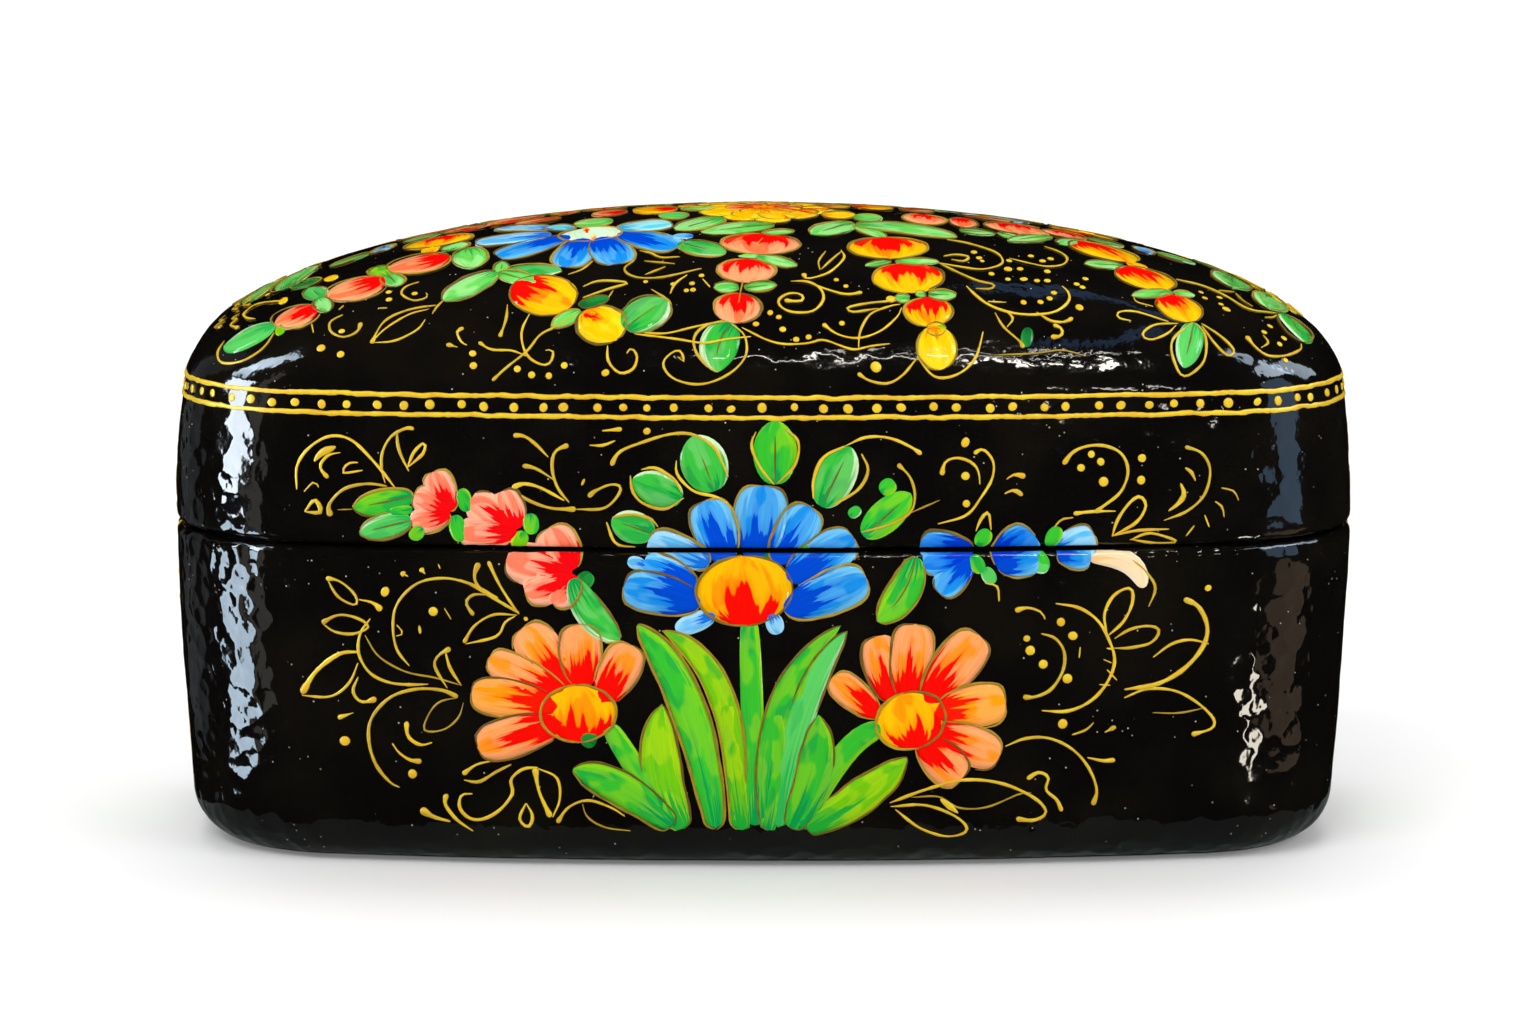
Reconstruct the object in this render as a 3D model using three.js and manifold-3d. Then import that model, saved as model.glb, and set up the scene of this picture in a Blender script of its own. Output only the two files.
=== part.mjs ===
// A lacquered papier-mache trinket box, in millimetres, +Z up.
// Paper pulp is laid over one wooden form and sawn round into a deep base and a domed lid.
// A strip of card is bent round inside the base's mouth and glued, and the lid slips over it.
// The origin is the middle of the flat underside, +X runs along the box and -Y is its front.

import * as THREE from "three";
import { mergeVertices } from "three/addons/utils/BufferGeometryUtils.js";
import Module from "manifold-3d";

// Plan of the closed box at the seam: a rounded rectangle whose four sides bow outwards a little.
const LENGTH = 127;
const DEPTH = 68;
const CORNER_RADIUS = 19;
const LONG_SIDE_BOW_RADIUS = 290;
const SHORT_SIDE_BOW_RADIUS = 290;

// Heights, counted from the surface that the box stands on.
const BASE_HEIGHT = 34.35;
const SEAM_GAP = 0.3;
const SKIRT_HEIGHT = 15.85;
const DOME_RISE = 16.7;

// Outside shape of the two shells.
const BASE_TAPER = 1.5;
const BASE_TAPER_POWER = 1.5;
const FOOT_RADIUS = 6;
const SKIRT_LEAN = 1.15;
const SKIRT_LEAN_POWER = 2;
const DOME_POWER = 1.7;
const RIM_ROUNDING = 1;
const RIM_INNER_ROUNDING = 0.4;

// Walls, and the strip of card that locates the lid.
const WALL = 3;
const FLOOR_THICKNESS = 3.2;
const CROWN_THICKNESS = 3.2;
const INNER_FOOT_RADIUS = 4;
const COLLAR_THICKNESS = 1.6;
const COLLAR_STANDING = 4.6;
const COLLAR_GLUED = 11;
const COLLAR_EDGE_ROUNDING = 0.5;
const COLLAR_BUTT_GAP = 0.4;
const GLUE_LINE = 0.2;
const LID_CLEARANCE = 0.35;

// How finely the round shapes are divided.
const CORNER_STEPS = 9;
const LONG_SIDE_STEPS = 5;
const SHORT_SIDE_STEPS = 3;
const FOOT_STEPS = 5;
const WALL_STEPS = 4;
const RIM_STEPS = 3;
const DOME_STEPS = 11;

const lidBottom = BASE_HEIGHT + SEAM_GAP;
const domeStart = lidBottom + SKIRT_HEIGHT;
const collarInset = WALL + GLUE_LINE;
const skirtWall = collarInset - LID_CLEARANCE;

// A circle's points, evenly spaced from one angle to another, with the last one left out.
function arc(centre, radius, from, to, steps) {
  const curve = new THREE.EllipseCurve(centre.x, centre.y, radius, radius, from, to, to < from, 0);
  return curve.getPoints(steps).slice(0, -1);
}

// Where the corner's centre lies: its circle touches both bowed sides from the inside.
function cornerCentre(longCentre, shortCentre) {
  const toLong = LONG_SIDE_BOW_RADIUS - CORNER_RADIUS;
  const toShort = SHORT_SIDE_BOW_RADIUS - CORNER_RADIUS;
  const span = shortCentre.clone().sub(longCentre);
  const apart = span.length();
  const along = (toLong ** 2 - toShort ** 2 + apart ** 2) / (2 * apart);
  const aside = Math.sqrt(toLong ** 2 - along ** 2);
  const direction = span.normalize();
  const normal = new THREE.Vector2(direction.y, -direction.x);
  return longCentre.clone().addScaledVector(direction, along).addScaledVector(normal, aside);
}

// The plan, counterclockwise from above, drawn in by inset at every point.
// Each arc keeps its centre and loses radius, so that walls have an even thickness.
function plan(inset) {
  const longCentre = new THREE.Vector2(0, DEPTH / 2 - LONG_SIDE_BOW_RADIUS);
  const shortCentre = new THREE.Vector2(LENGTH / 2 - SHORT_SIDE_BOW_RADIUS, 0);
  const corner = cornerCentre(longCentre, shortCentre);
  const cornerStart = corner.clone().sub(shortCentre).angle();
  const cornerEnd = corner.clone().sub(longCentre).angle();
  const quarter = [
    ...arc(shortCentre, SHORT_SIDE_BOW_RADIUS - inset, 0, cornerStart, SHORT_SIDE_STEPS),
    ...arc(corner, CORNER_RADIUS - inset, cornerStart, cornerEnd, CORNER_STEPS),
    ...arc(longCentre, LONG_SIDE_BOW_RADIUS - inset, cornerEnd, Math.PI / 2, LONG_SIDE_STEPS),
  ];
  const top = new THREE.Vector2(0, DEPTH / 2 - inset);
  const half = [
    ...quarter,
    top,
    ...quarter.slice(1).reverse().map((p) => new THREE.Vector2(-p.x, p.y)),
  ];
  return [...half, ...half.map((p) => new THREE.Vector2(-p.x, -p.y))];
}

// One level of a shell: the plan at an inset, at a height.
function ring(inset, height) {
  return plan(inset).map((p) => new THREE.Vector3(p.x, p.y, height));
}

// One level line of a dome. share is the part of the plan that it spans.
// It has the plan's shape at the dome's rim and turns into an ellipse towards the crown.
function domeRing(inset, height, share) {
  const halfLength = LENGTH / 2 - inset;
  const halfDepth = DEPTH / 2 - inset;
  return plan(inset).map((p) => {
    const toEllipse = 1 / Math.hypot(p.x / halfLength, p.y / halfDepth);
    const scale = share * THREE.MathUtils.lerp(toEllipse, 1, share);
    return new THREE.Vector3(p.x * scale, p.y * scale, height);
  });
}

// Joins rings of equally many points into a surface. Ends are closed by a middle point each,
// or by running back to the first ring.
function loft(rings, { bottomHeight, topHeight, wrap = false }) {
  const points = rings.flat();
  const count = rings[0].length;
  const faces = [];
  const bands = wrap ? rings.length : rings.length - 1;
  for (let k = 0; k < bands; k++) {
    const lower = k * count;
    const upper = ((k + 1) % rings.length) * count;
    for (let i = 0; i < count; i++) {
      const next = (i + 1) % count;
      faces.push(lower + i, lower + next, upper + next);
      faces.push(lower + i, upper + next, upper + i);
    }
  }
  if (!wrap) {
    const first = points.push(new THREE.Vector3(0, 0, bottomHeight)) - 1;
    const last = points.push(new THREE.Vector3(0, 0, topHeight)) - 1;
    const topRing = (rings.length - 1) * count;
    for (let i = 0; i < count; i++) {
      const next = (i + 1) % count;
      faces.push(first, next, i);
      faces.push(last, topRing + i, topRing + next);
    }
  }
  return new THREE.BufferGeometry().setFromPoints(points).setIndex(faces);
}

// Quarter turns of a rounded edge, as pairs of (sine, 1 - cosine) from 0 to a right angle.
function quarterTurn(steps) {
  return Array.from({ length: steps + 1 }, (_, k) => {
    const angle = ((Math.PI / 2) * k) / steps;
    return { rise: Math.sin(angle), fall: 1 - Math.cos(angle) };
  });
}

// How far the base's outside is drawn in at a height: nothing at its rim, most at its foot.
function baseInset(height) {
  const share = (BASE_HEIGHT - height) / (BASE_HEIGHT - FOOT_RADIUS);
  return BASE_TAPER * Math.max(share, 0) ** BASE_TAPER_POWER;
}

// How far the lid's outside is drawn in at a height of its skirt.
function skirtInset(height) {
  const share = (height - lidBottom) / SKIRT_HEIGHT;
  return SKIRT_LEAN * Math.max(share, 0) ** SKIRT_LEAN_POWER;
}

// Heights from one level to another, both included.
function levels(from, to, steps) {
  return Array.from({ length: steps + 1 }, (_, k) => from + ((to - from) * k) / steps);
}

// The pulp shell of the base: a round-edged foot, leaning walls and a softly rounded rim.
function baseShell() {
  const innerFloor = FLOOR_THICKNESS;
  const outerFoot = quarterTurn(FOOT_STEPS).map(({ rise, fall }) =>
    ring(BASE_TAPER + FOOT_RADIUS * (1 - rise), FOOT_RADIUS * fall),
  );
  const outerWall = levels(FOOT_RADIUS, BASE_HEIGHT - RIM_ROUNDING, WALL_STEPS)
    .slice(1)
    .map((z) => ring(baseInset(z), z));
  const outerRim = quarterTurn(RIM_STEPS)
    .slice(1)
    .map(({ rise, fall }) =>
      ring(RIM_ROUNDING * fall, BASE_HEIGHT - RIM_ROUNDING * (1 - rise)),
    );
  const innerRim = [
    ring(WALL - RIM_INNER_ROUNDING, BASE_HEIGHT),
    ring(WALL + baseInset(BASE_HEIGHT - RIM_INNER_ROUNDING), BASE_HEIGHT - RIM_INNER_ROUNDING),
  ];
  const innerFootTop = innerFloor + INNER_FOOT_RADIUS;
  const innerWall = levels(BASE_HEIGHT - RIM_INNER_ROUNDING, innerFootTop, WALL_STEPS)
    .slice(1)
    .map((z) => ring(WALL + baseInset(z), z));
  const innerFoot = quarterTurn(FOOT_STEPS)
    .slice(1)
    .map(({ rise, fall }) =>
      ring(
        WALL + baseInset(innerFootTop) + INNER_FOOT_RADIUS * fall,
        innerFootTop - INNER_FOOT_RADIUS * rise,
      ),
    );
  const rings = [...outerFoot, ...outerWall, ...outerRim, ...innerRim, ...innerWall, ...innerFoot];
  return loft(rings, { bottomHeight: 0, topHeight: innerFloor });
}

// Level lines of a dome from its rim to near its top. Their rise follows a flattened ellipse.
function domeRings(inset, rise) {
  return Array.from({ length: DOME_STEPS }, (_, k) => {
    const share = Math.cos(((Math.PI / 2) * k) / DOME_STEPS);
    const height = domeStart + rise * (1 - share ** 2) ** (1 / DOME_POWER);
    return domeRing(inset, height, share);
  });
}

// The pulp shell of the lid: a low skirt that leans in a little and a broad dome.
function lidShell() {
  const innerRise = DOME_RISE - CROWN_THICKNESS;
  const innerDome = domeRings(SKIRT_LEAN + skirtWall, innerRise).reverse();
  const innerSkirt = levels(domeStart, lidBottom + RIM_INNER_ROUNDING, WALL_STEPS)
    .slice(1)
    .map((z) => ring(skirtWall + skirtInset(z), z));
  const innerRim = [ring(skirtWall - RIM_INNER_ROUNDING, lidBottom)];
  const outerRim = quarterTurn(RIM_STEPS).map(({ rise, fall }) =>
    ring(RIM_ROUNDING * (1 - rise), lidBottom + RIM_ROUNDING * fall),
  );
  const outerSkirt = levels(lidBottom + RIM_ROUNDING, domeStart, WALL_STEPS)
    .slice(1, -1)
    .map((z) => ring(skirtInset(z), z));
  const outerDome = domeRings(SKIRT_LEAN, DOME_RISE);
  const rings = [
    ...innerDome,
    ...innerSkirt,
    ...innerRim,
    ...outerRim,
    ...outerSkirt,
    ...outerDome,
  ];
  return loft(rings, { bottomHeight: domeStart + innerRise, topHeight: domeStart + DOME_RISE });
}

// The card strip: it follows the inside of the base, and stands straight above the rim.
function collarBand() {
  const bottom = BASE_HEIGHT - COLLAR_GLUED;
  const top = BASE_HEIGHT + COLLAR_STANDING;
  const glued = levels(bottom, BASE_HEIGHT, WALL_STEPS);
  const outer = [
    ...glued.map((z) => ring(collarInset + baseInset(z), z)),
    ring(collarInset, top - COLLAR_EDGE_ROUNDING),
    ring(collarInset + COLLAR_EDGE_ROUNDING, top),
  ];
  const backInset = collarInset + COLLAR_THICKNESS;
  const inner = [
    ring(backInset - COLLAR_EDGE_ROUNDING, top),
    ring(backInset, top - COLLAR_EDGE_ROUNDING),
    ...glued.reverse().map((z) => ring(backInset + baseInset(z), z)),
  ];
  return loft([...outer, ...inner], { wrap: true });
}

const wasm = await Module();
wasm.setup();

// A geometry as a solid that can be cut, and back again.
function toSolid(geometry) {
  const plain = geometry.clone();
  plain.deleteAttribute("normal");
  plain.deleteAttribute("uv");
  const merged = mergeVertices(plain);
  return new wasm.Manifold(
    new wasm.Mesh({
      numProp: 3,
      vertProperties: merged.attributes.position.array,
      triVerts: new Uint32Array(merged.index.array),
    }),
  );
}

function toGeometry(solid) {
  const mesh = solid.getMesh();
  return new THREE.BufferGeometry()
    .setAttribute("position", new THREE.BufferAttribute(mesh.vertProperties, 3))
    .setIndex(new THREE.BufferAttribute(mesh.triVerts, 1));
}

// The strip is one length of card, so its two ends meet in a butt joint at the middle of the back.
function rimCollar() {
  const height = COLLAR_STANDING + COLLAR_GLUED;
  const saw = new THREE.BoxGeometry(COLLAR_BUTT_GAP, DEPTH / 2, 2 * height);
  saw.translate(0, DEPTH / 2, BASE_HEIGHT);
  return toGeometry(toSolid(collarBand()).subtract(toSolid(saw)));
}

const lacquer = new THREE.MeshStandardMaterial({ color: 0x0b0908, roughness: 0.12, metalness: 0 });
const blackCard = new THREE.MeshStandardMaterial({ color: 0x15120f, roughness: 0.55, metalness: 0 });

function piece(name, geometry, material) {
  geometry.computeVertexNormals();
  const mesh = new THREE.Mesh(geometry, material);
  mesh.name = name;
  return mesh;
}

const box = new THREE.Group();
box.add(piece("base_shell", baseShell(), lacquer));
box.add(piece("rim_collar", rimCollar(), blackCard));
box.add(piece("lid_shell", lidShell(), lacquer));

export default box;
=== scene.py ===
# %% [markdown]
# # A lacquered papier-mache trinket box
# The box is a deep oblong base with a domed lid that lifts straight off. Both are shells of paper
# pulp under black lacquer, and a strip of card inside the base's mouth holds the lid in place.
# Flowers, leaves and gold scrolls are painted on it by hand. Here the two shells are modelled
# first, then every brush stroke is laid on them as a thin skin of paint of its own. The strokes
# could be a flat picture, but real ones stand proud of the lacquer and catch the light.

# %% Load the fixed frame
import math
import random
from collections import namedtuple

import bmesh
import bpy
import numpy as np
from mathutils import Matrix, Vector
from mathutils.bvhtree import BVHTree


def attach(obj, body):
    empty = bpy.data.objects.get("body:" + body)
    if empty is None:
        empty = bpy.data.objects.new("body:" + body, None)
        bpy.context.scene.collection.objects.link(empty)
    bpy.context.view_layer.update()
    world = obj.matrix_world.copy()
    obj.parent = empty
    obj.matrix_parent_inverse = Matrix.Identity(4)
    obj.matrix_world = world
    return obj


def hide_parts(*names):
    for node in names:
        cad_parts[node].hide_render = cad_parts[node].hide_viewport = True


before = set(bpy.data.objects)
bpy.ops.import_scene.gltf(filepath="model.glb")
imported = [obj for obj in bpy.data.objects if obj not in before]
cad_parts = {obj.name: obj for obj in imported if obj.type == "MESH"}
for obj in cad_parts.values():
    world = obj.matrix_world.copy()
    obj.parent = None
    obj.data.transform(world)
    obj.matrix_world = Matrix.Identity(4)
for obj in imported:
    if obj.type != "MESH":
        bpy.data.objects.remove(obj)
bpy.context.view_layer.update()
scene = bpy.context.scene
MM = 0.001


def put(name, data):
    """Adds a thing made of that mesh, lamp or camera to the scene."""
    made = bpy.data.objects.new(name, data)
    scene.collection.objects.link(made)
    return made


# %% [markdown]
# ## Camera
# The camera stands almost straight in front of the box, a little above its lid, with a long lens.
# It could be turned towards a target by a constraint, but its three axes are worked out here
# from a few angles, because the small tilt of the picture is then one more turn of two axes.

# %% Place the camera at the picture's viewing angle
IMAGE_WIDTH_PX = 1536
SENSOR_WIDTH = 36
FOCAL_LENGTH_PX = 6173.1
CAMERA_DISTANCE = 0.677912
CAMERA_ELEVATION = math.radians(8.82)
CAMERA_YAW = math.radians(-0.512)
CAMERA_ROLL = math.radians(-0.125)
TARGET_ASIDE = 0.000562
TARGET_HEIGHT = 0.033364
NEAREST_SEEN = 0.01
FARTHEST_SEEN = 20


def camera_axes():
    """The camera's right, up and backward directions."""
    level = math.cos(CAMERA_ELEVATION)
    back = Vector((math.sin(CAMERA_YAW) * level, -math.cos(CAMERA_YAW) * level, math.sin(CAMERA_ELEVATION)))
    right = Vector((math.cos(CAMERA_YAW), math.sin(CAMERA_YAW), 0))
    up = back.cross(right)
    turned_right = right * math.cos(CAMERA_ROLL) - up * math.sin(CAMERA_ROLL)
    turned_up = right * math.sin(CAMERA_ROLL) + up * math.cos(CAMERA_ROLL)
    return turned_right, turned_up, back


def add_camera():
    right, up, back = camera_axes()
    aside = Vector((math.cos(CAMERA_YAW), math.sin(CAMERA_YAW), 0)) * TARGET_ASIDE
    place = aside + Vector((0, 0, TARGET_HEIGHT)) + back * CAMERA_DISTANCE
    data = bpy.data.cameras.new("camera")
    data.sensor_width = SENSOR_WIDTH
    data.lens = FOCAL_LENGTH_PX / IMAGE_WIDTH_PX * SENSOR_WIDTH
    data.clip_start = NEAREST_SEEN
    data.clip_end = FARTHEST_SEEN
    camera = put("camera", data)
    turn = Matrix((right, up, back)).transposed().to_4x4()
    camera.matrix_world = Matrix.Translation(place) @ turn
    return camera


scene.camera = add_camera()
scene.view_settings.view_transform = "Standard"
print("camera lens", round(scene.camera.data.lens, 1), "mm")

# %% [markdown]
# ## Wires
# Materials and Geometry Nodes trees are both written as sums. A `Wire` is one socket of a tree,
# and adding or multiplying wires adds the node that does so. A `Board` is the tree that they are
# in. Long chains of nodes could be linked by hand, but a formula is easier to read and to change.

# %% A wire for a socket and a board for a tree
class Wire:
    def __init__(self, board, socket):
        self.board = board
        self.socket = socket

    def is_vector(self):
        return self.socket.type in ("VECTOR", "RGBA")

    def combine(self, operation, first, second):
        if not any(isinstance(w, Wire) and w.is_vector() for w in (first, second)):
            return self.board.maths(operation, first, second)
        if operation == "MULTIPLY" and not (isinstance(second, Wire) and second.is_vector()):
            sockets = {0: first, "Scale": second}
            return self.board.node("ShaderNodeVectorMath", {"operation": "SCALE"}, sockets)
        return self.board.vector_maths(operation, first, second)

    def __add__(self, other):
        return self.combine("ADD", self, other)

    def __radd__(self, other):
        return self.combine("ADD", other, self)

    def __sub__(self, other):
        return self.combine("SUBTRACT", self, other)

    def __rsub__(self, other):
        return self.combine("SUBTRACT", other, self)

    def __mul__(self, other):
        return self.combine("MULTIPLY", self, other)

    def __rmul__(self, other):
        return self.combine("MULTIPLY", self, other)

    def __pow__(self, other):
        return self.combine("POWER", self, other)

    def size(self):
        return self.board.maths("ABSOLUTE", self)

    def clipped(self):
        return self.board.node("ShaderNodeClamp", {}, {0: self})


class Board:
    def __init__(self, tree):
        self.tree = tree

    def node(self, kind, settings, sockets, output=0):
        """Adds a node: its settings first, then the values or wires of its sockets."""
        made = self.tree.nodes.new(kind)
        for name, value in settings.items():
            setattr(made, name, value)
        for name, value in sockets.items():
            if isinstance(value, Wire):
                self.tree.links.new(value.socket, made.inputs[name])
            else:
                made.inputs[name].default_value = value
        if not made.outputs:
            return None
        return Wire(self, made.outputs[output])

    def maths(self, operation, *values):
        return self.node("ShaderNodeMath", {"operation": operation}, dict(enumerate(values)))

    def vector_maths(self, operation, *values, output=0):
        return self.node("ShaderNodeVectorMath", {"operation": operation}, dict(enumerate(values)), output)

    def mix(self, share, first, second):
        """A colour between two others."""
        sockets = {0: share, 6: first, 7: second}
        return self.node("ShaderNodeMix", {"data_type": "RGBA"}, sockets, 2)

    def noise(self, place, scale, detail=2.0, roughness=0.5):
        sockets = {"Vector": place, "Scale": scale, "Detail": detail, "Roughness": roughness}
        return self.node("ShaderNodeTexNoise", {}, sockets)

    def vector(self, x, y, z):
        return self.node("ShaderNodeCombineXYZ", {}, {0: x, 1: y, 2: z})

    def height(self, place):
        return self.node("ShaderNodeSeparateXYZ", {}, {"Vector": place}, "Z")

    def stretch(self, place, scale):
        return self.node("ShaderNodeMapping", {}, {"Vector": place, "Scale": scale})

    def bump(self, height, strength, distance):
        sockets = {"Height": height, "Strength": strength, "Distance": distance}
        return self.node("ShaderNodeBump", {}, sockets)


def linear(red, green, blue):
    """A colour in the renderer's linear numbers, from everyday 0 to 255 numbers."""
    parts = [c / 255 for c in (red, green, blue)]
    made = [p / 12.92 if p <= 0.04045 else ((p + 0.055) / 1.055) ** 2.4 for p in parts]
    return (*made, 1.0)


def new_material(name):
    """An empty material, its board and its output."""
    material = bpy.data.materials.new(name)
    material.use_nodes = True
    material.node_tree.nodes.clear()
    return material, Board(material.node_tree)


def finish_material(board, kind, sockets):
    """Ends a material in a shader of that kind and the output."""
    board.node("ShaderNodeOutputMaterial", {}, {"Surface": board.node(kind, {}, sockets)})


def object_place(board):
    return board.node("ShaderNodeTexCoord", {}, {}, "Object")


def shade_read(board, name, output="Fac"):
    """A named attribute inside a material."""
    return board.node("ShaderNodeAttribute", {"attribute_name": name}, {}, output)


reflected = [m for m in dir(Wire) if m.startswith("__r") and m not in dir(object)]
print("a wire knows", len(reflected), "reflected sums")

# %% [markdown]
# ## Floor, lamps and dark cards
# A glossy black box shows whatever stands round it. A photographer lights it with soft boxes and
# hides the white floor from it with black cards, or the black would turn grey. The lamps that
# light the paint are hidden from reflections here. What the lacquer shows instead are bright
# panels beside the corners and round the dome, which nothing else can see. The floor stays pale
# for the camera and keeps the shadow. A faint frame round the foot comes later, when the outline
# is known.

# %% Make the pale floor
FLOOR_SIZE = 8.0
FLOOR_COLOUR = (0.86, 0.86, 0.86, 1)
FLOOR_GLOW_SHARE = 0.13
FLOOR_GLOW_GAIN = 0.80
FLOOR_GLOW = 1.1
FLOOR_DIM_RADIUS = 0.18
FLOOR_FADE = 4.0
FLOOR_DROP = 0.00004


def floor_material():
    material, board = new_material("pale_floor")
    kinds = ("Camera", "Glossy", "Transmission")
    camera, glossy, clear = (board.node("ShaderNodeLightPath", {}, {}, f"Is {k} Ray") for k in kinds)
    seen = (camera + glossy + clear).clipped()
    reach = board.vector_maths("LENGTH", object_place(board), output="Value")
    share = FLOOR_GLOW_SHARE + ((reach - FLOOR_DIM_RADIUS) * FLOOR_FADE).clipped() * FLOOR_GLOW_GAIN
    matt = board.node("ShaderNodeBsdfDiffuse", {}, {"Color": FLOOR_COLOUR})
    glow = board.node("ShaderNodeEmission", {}, {"Color": (1, 1, 1, 1), "Strength": FLOOR_GLOW})
    finish_material(board, "ShaderNodeMixShader", {0: seen * share, 1: matt, 2: glow})
    return material


def add_plate(name, corners, faces, material):
    """A flat thing of the studio, which is no part of the box."""
    mesh = bpy.data.meshes.new(name)
    mesh.from_pydata(corners, [], faces)
    mesh.materials.append(material)
    plate = put(name, mesh)
    return plate


half_floor = FLOOR_SIZE / 2
floor_ways = ((-1, -1), (1, -1), (1, 1), (-1, 1))
floor_corners = [(x * half_floor, y * half_floor, -FLOOR_DROP) for x, y in floor_ways]
add_plate("floor", floor_corners, [range(4)], floor_material())
print("floor", FLOOR_SIZE, "m wide")

# %% Stand dark cards round the box, seen only by its gloss
CARD_COLOUR = (0.004, 0.0035, 0.003, 1)
CARD_LIFT = 0.0004
CARD_RADIUS = 3.0
CARD_STEPS = 32
CARD_LOWEST = -0.03


def card_material():
    material, board = new_material("dark_card")
    finish_material(board, "ShaderNodeBsdfDiffuse", {"Color": CARD_COLOUR, "Roughness": 1.0})
    return material


def only_for_gloss(thing):
    thing.visible_camera = False
    thing.visible_diffuse = False
    thing.visible_shadow = False
    thing.visible_transmission = False


def dark_tent():
    """A bowl of dark card turned over the box, and a dark sheet on the floor."""
    mesh = bpy.data.meshes.new("dark_tent")
    shape = bmesh.new()
    bmesh.ops.create_uvsphere(shape, u_segments=CARD_STEPS, v_segments=CARD_STEPS // 2, radius=CARD_RADIUS)
    low = [v for v in shape.verts if v.co.z < CARD_LOWEST]
    bmesh.ops.delete(shape, geom=low, context="VERTS")
    shape.to_mesh(mesh)
    shape.free()
    mesh.materials.append(card_material())
    tent = put("dark_tent", mesh)
    only_for_gloss(tent)
    edge = [2 * math.pi * k / CARD_STEPS for k in range(CARD_STEPS)]
    corners = [(CARD_RADIUS * math.cos(a), CARD_RADIUS * math.sin(a), CARD_LIFT) for a in edge]
    only_for_gloss(add_plate("dark_sheet", corners, [range(CARD_STEPS)], mesh.materials[0]))


dark_tent()
print("dark cards", CARD_RADIUS, "m away")

# %% Hang the lamps that light the paint and the floor
WHITE = (1, 1, 1)
MIDDLE = (0, 0, 0.035)
SOFT_LAMPS = (
    ("key_lamp", (-0.75, -1.5, 1.7), MIDDLE, (1.4, 1.0), 24.0, WHITE),
    ("fill_lamp", (1.4, -1.1, 1.2), MIDDLE, (1.2, 1.0), 10.0, WHITE),
    ("top_lamp", (0, 0.9, 2.0), MIDDLE, (1.6, 1.2), 22.0, WHITE),
)


def add_lamp(name, place, aim, size, power, colour):
    """A rectangular soft lamp of that width and height, facing a point. Metres and watts."""
    data = bpy.data.lights.new(name, "AREA")
    data.shape = "RECTANGLE"
    data.size, data.size_y = size
    data.energy = power
    data.color = colour
    lamp = put(name, data)
    lamp.location = place
    lamp.rotation_mode = "QUATERNION"
    lamp.rotation_quaternion = (Vector(aim) - Vector(place)).to_track_quat("-Z", "Y")
    return lamp


for lamp_row in SOFT_LAMPS:
    add_lamp(*lamp_row).visible_glossy = False
print(len(SOFT_LAMPS), "lamps that the lacquer doesn't mirror")

# %% Stand bright panels beside the corners
LEFT_SIDE = -0.09
RIGHT_SIDE = 0.09
SIDE_WINDOWS = (
    ("left_window_high", LEFT_SIDE, -0.031, 0.036, 0.066, 0.013, 21.0, (0.80, 0.90, 1.0)),
    ("left_window_low", LEFT_SIDE, -0.031, 0.001, 0.030, 0.014, 12.0, (0.66, 0.83, 1.0)),
    ("left_window_frame", LEFT_SIDE, -0.046, 0.001, 0.100, 0.010, 0.7, (0.9, 0.84, 0.78)),
    ("left_far_room", LEFT_SIDE, 0.010, 0.001, 0.100, 0.030, 0.13, (0.8, 0.9, 1.0)),
    ("right_blue_card", RIGHT_SIDE, -0.037, 0.031, 0.072, 0.020, 1.5, (0.42, 0.66, 1.0)),
    ("right_brown_card", RIGHT_SIDE, -0.033, 0.001, 0.026, 0.022, 0.60, (1.0, 0.70, 0.48)),
    ("right_low_glint", 0.072, -0.0435, 0.0006, 0.0140, 0.0055, 18.0, (1.0, 0.92, 0.78)),
)


def add_mirrored_panel(name, place, aim, size, glow, colour):
    """A bright panel that only the gloss shows, given by how bright it looks."""
    lamp = add_lamp(name, place, aim, size, glow * math.pi * size[0] * size[1], colour)
    lamp.visible_diffuse = False
    lamp.visible_camera = False
    return lamp


def add_side_window(name, side, y, low, high, wide, glow, colour):
    """An upright panel beside the box, given by its lowest and highest point."""
    middle = (low + high) / 2
    add_mirrored_panel(name, (side, y, middle), (0, y, middle), (wide, high - low), glow, colour)


for window_row in SIDE_WINDOWS:
    add_side_window(*window_row)
print(len(SIDE_WINDOWS), "panels beside the corners")

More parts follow.
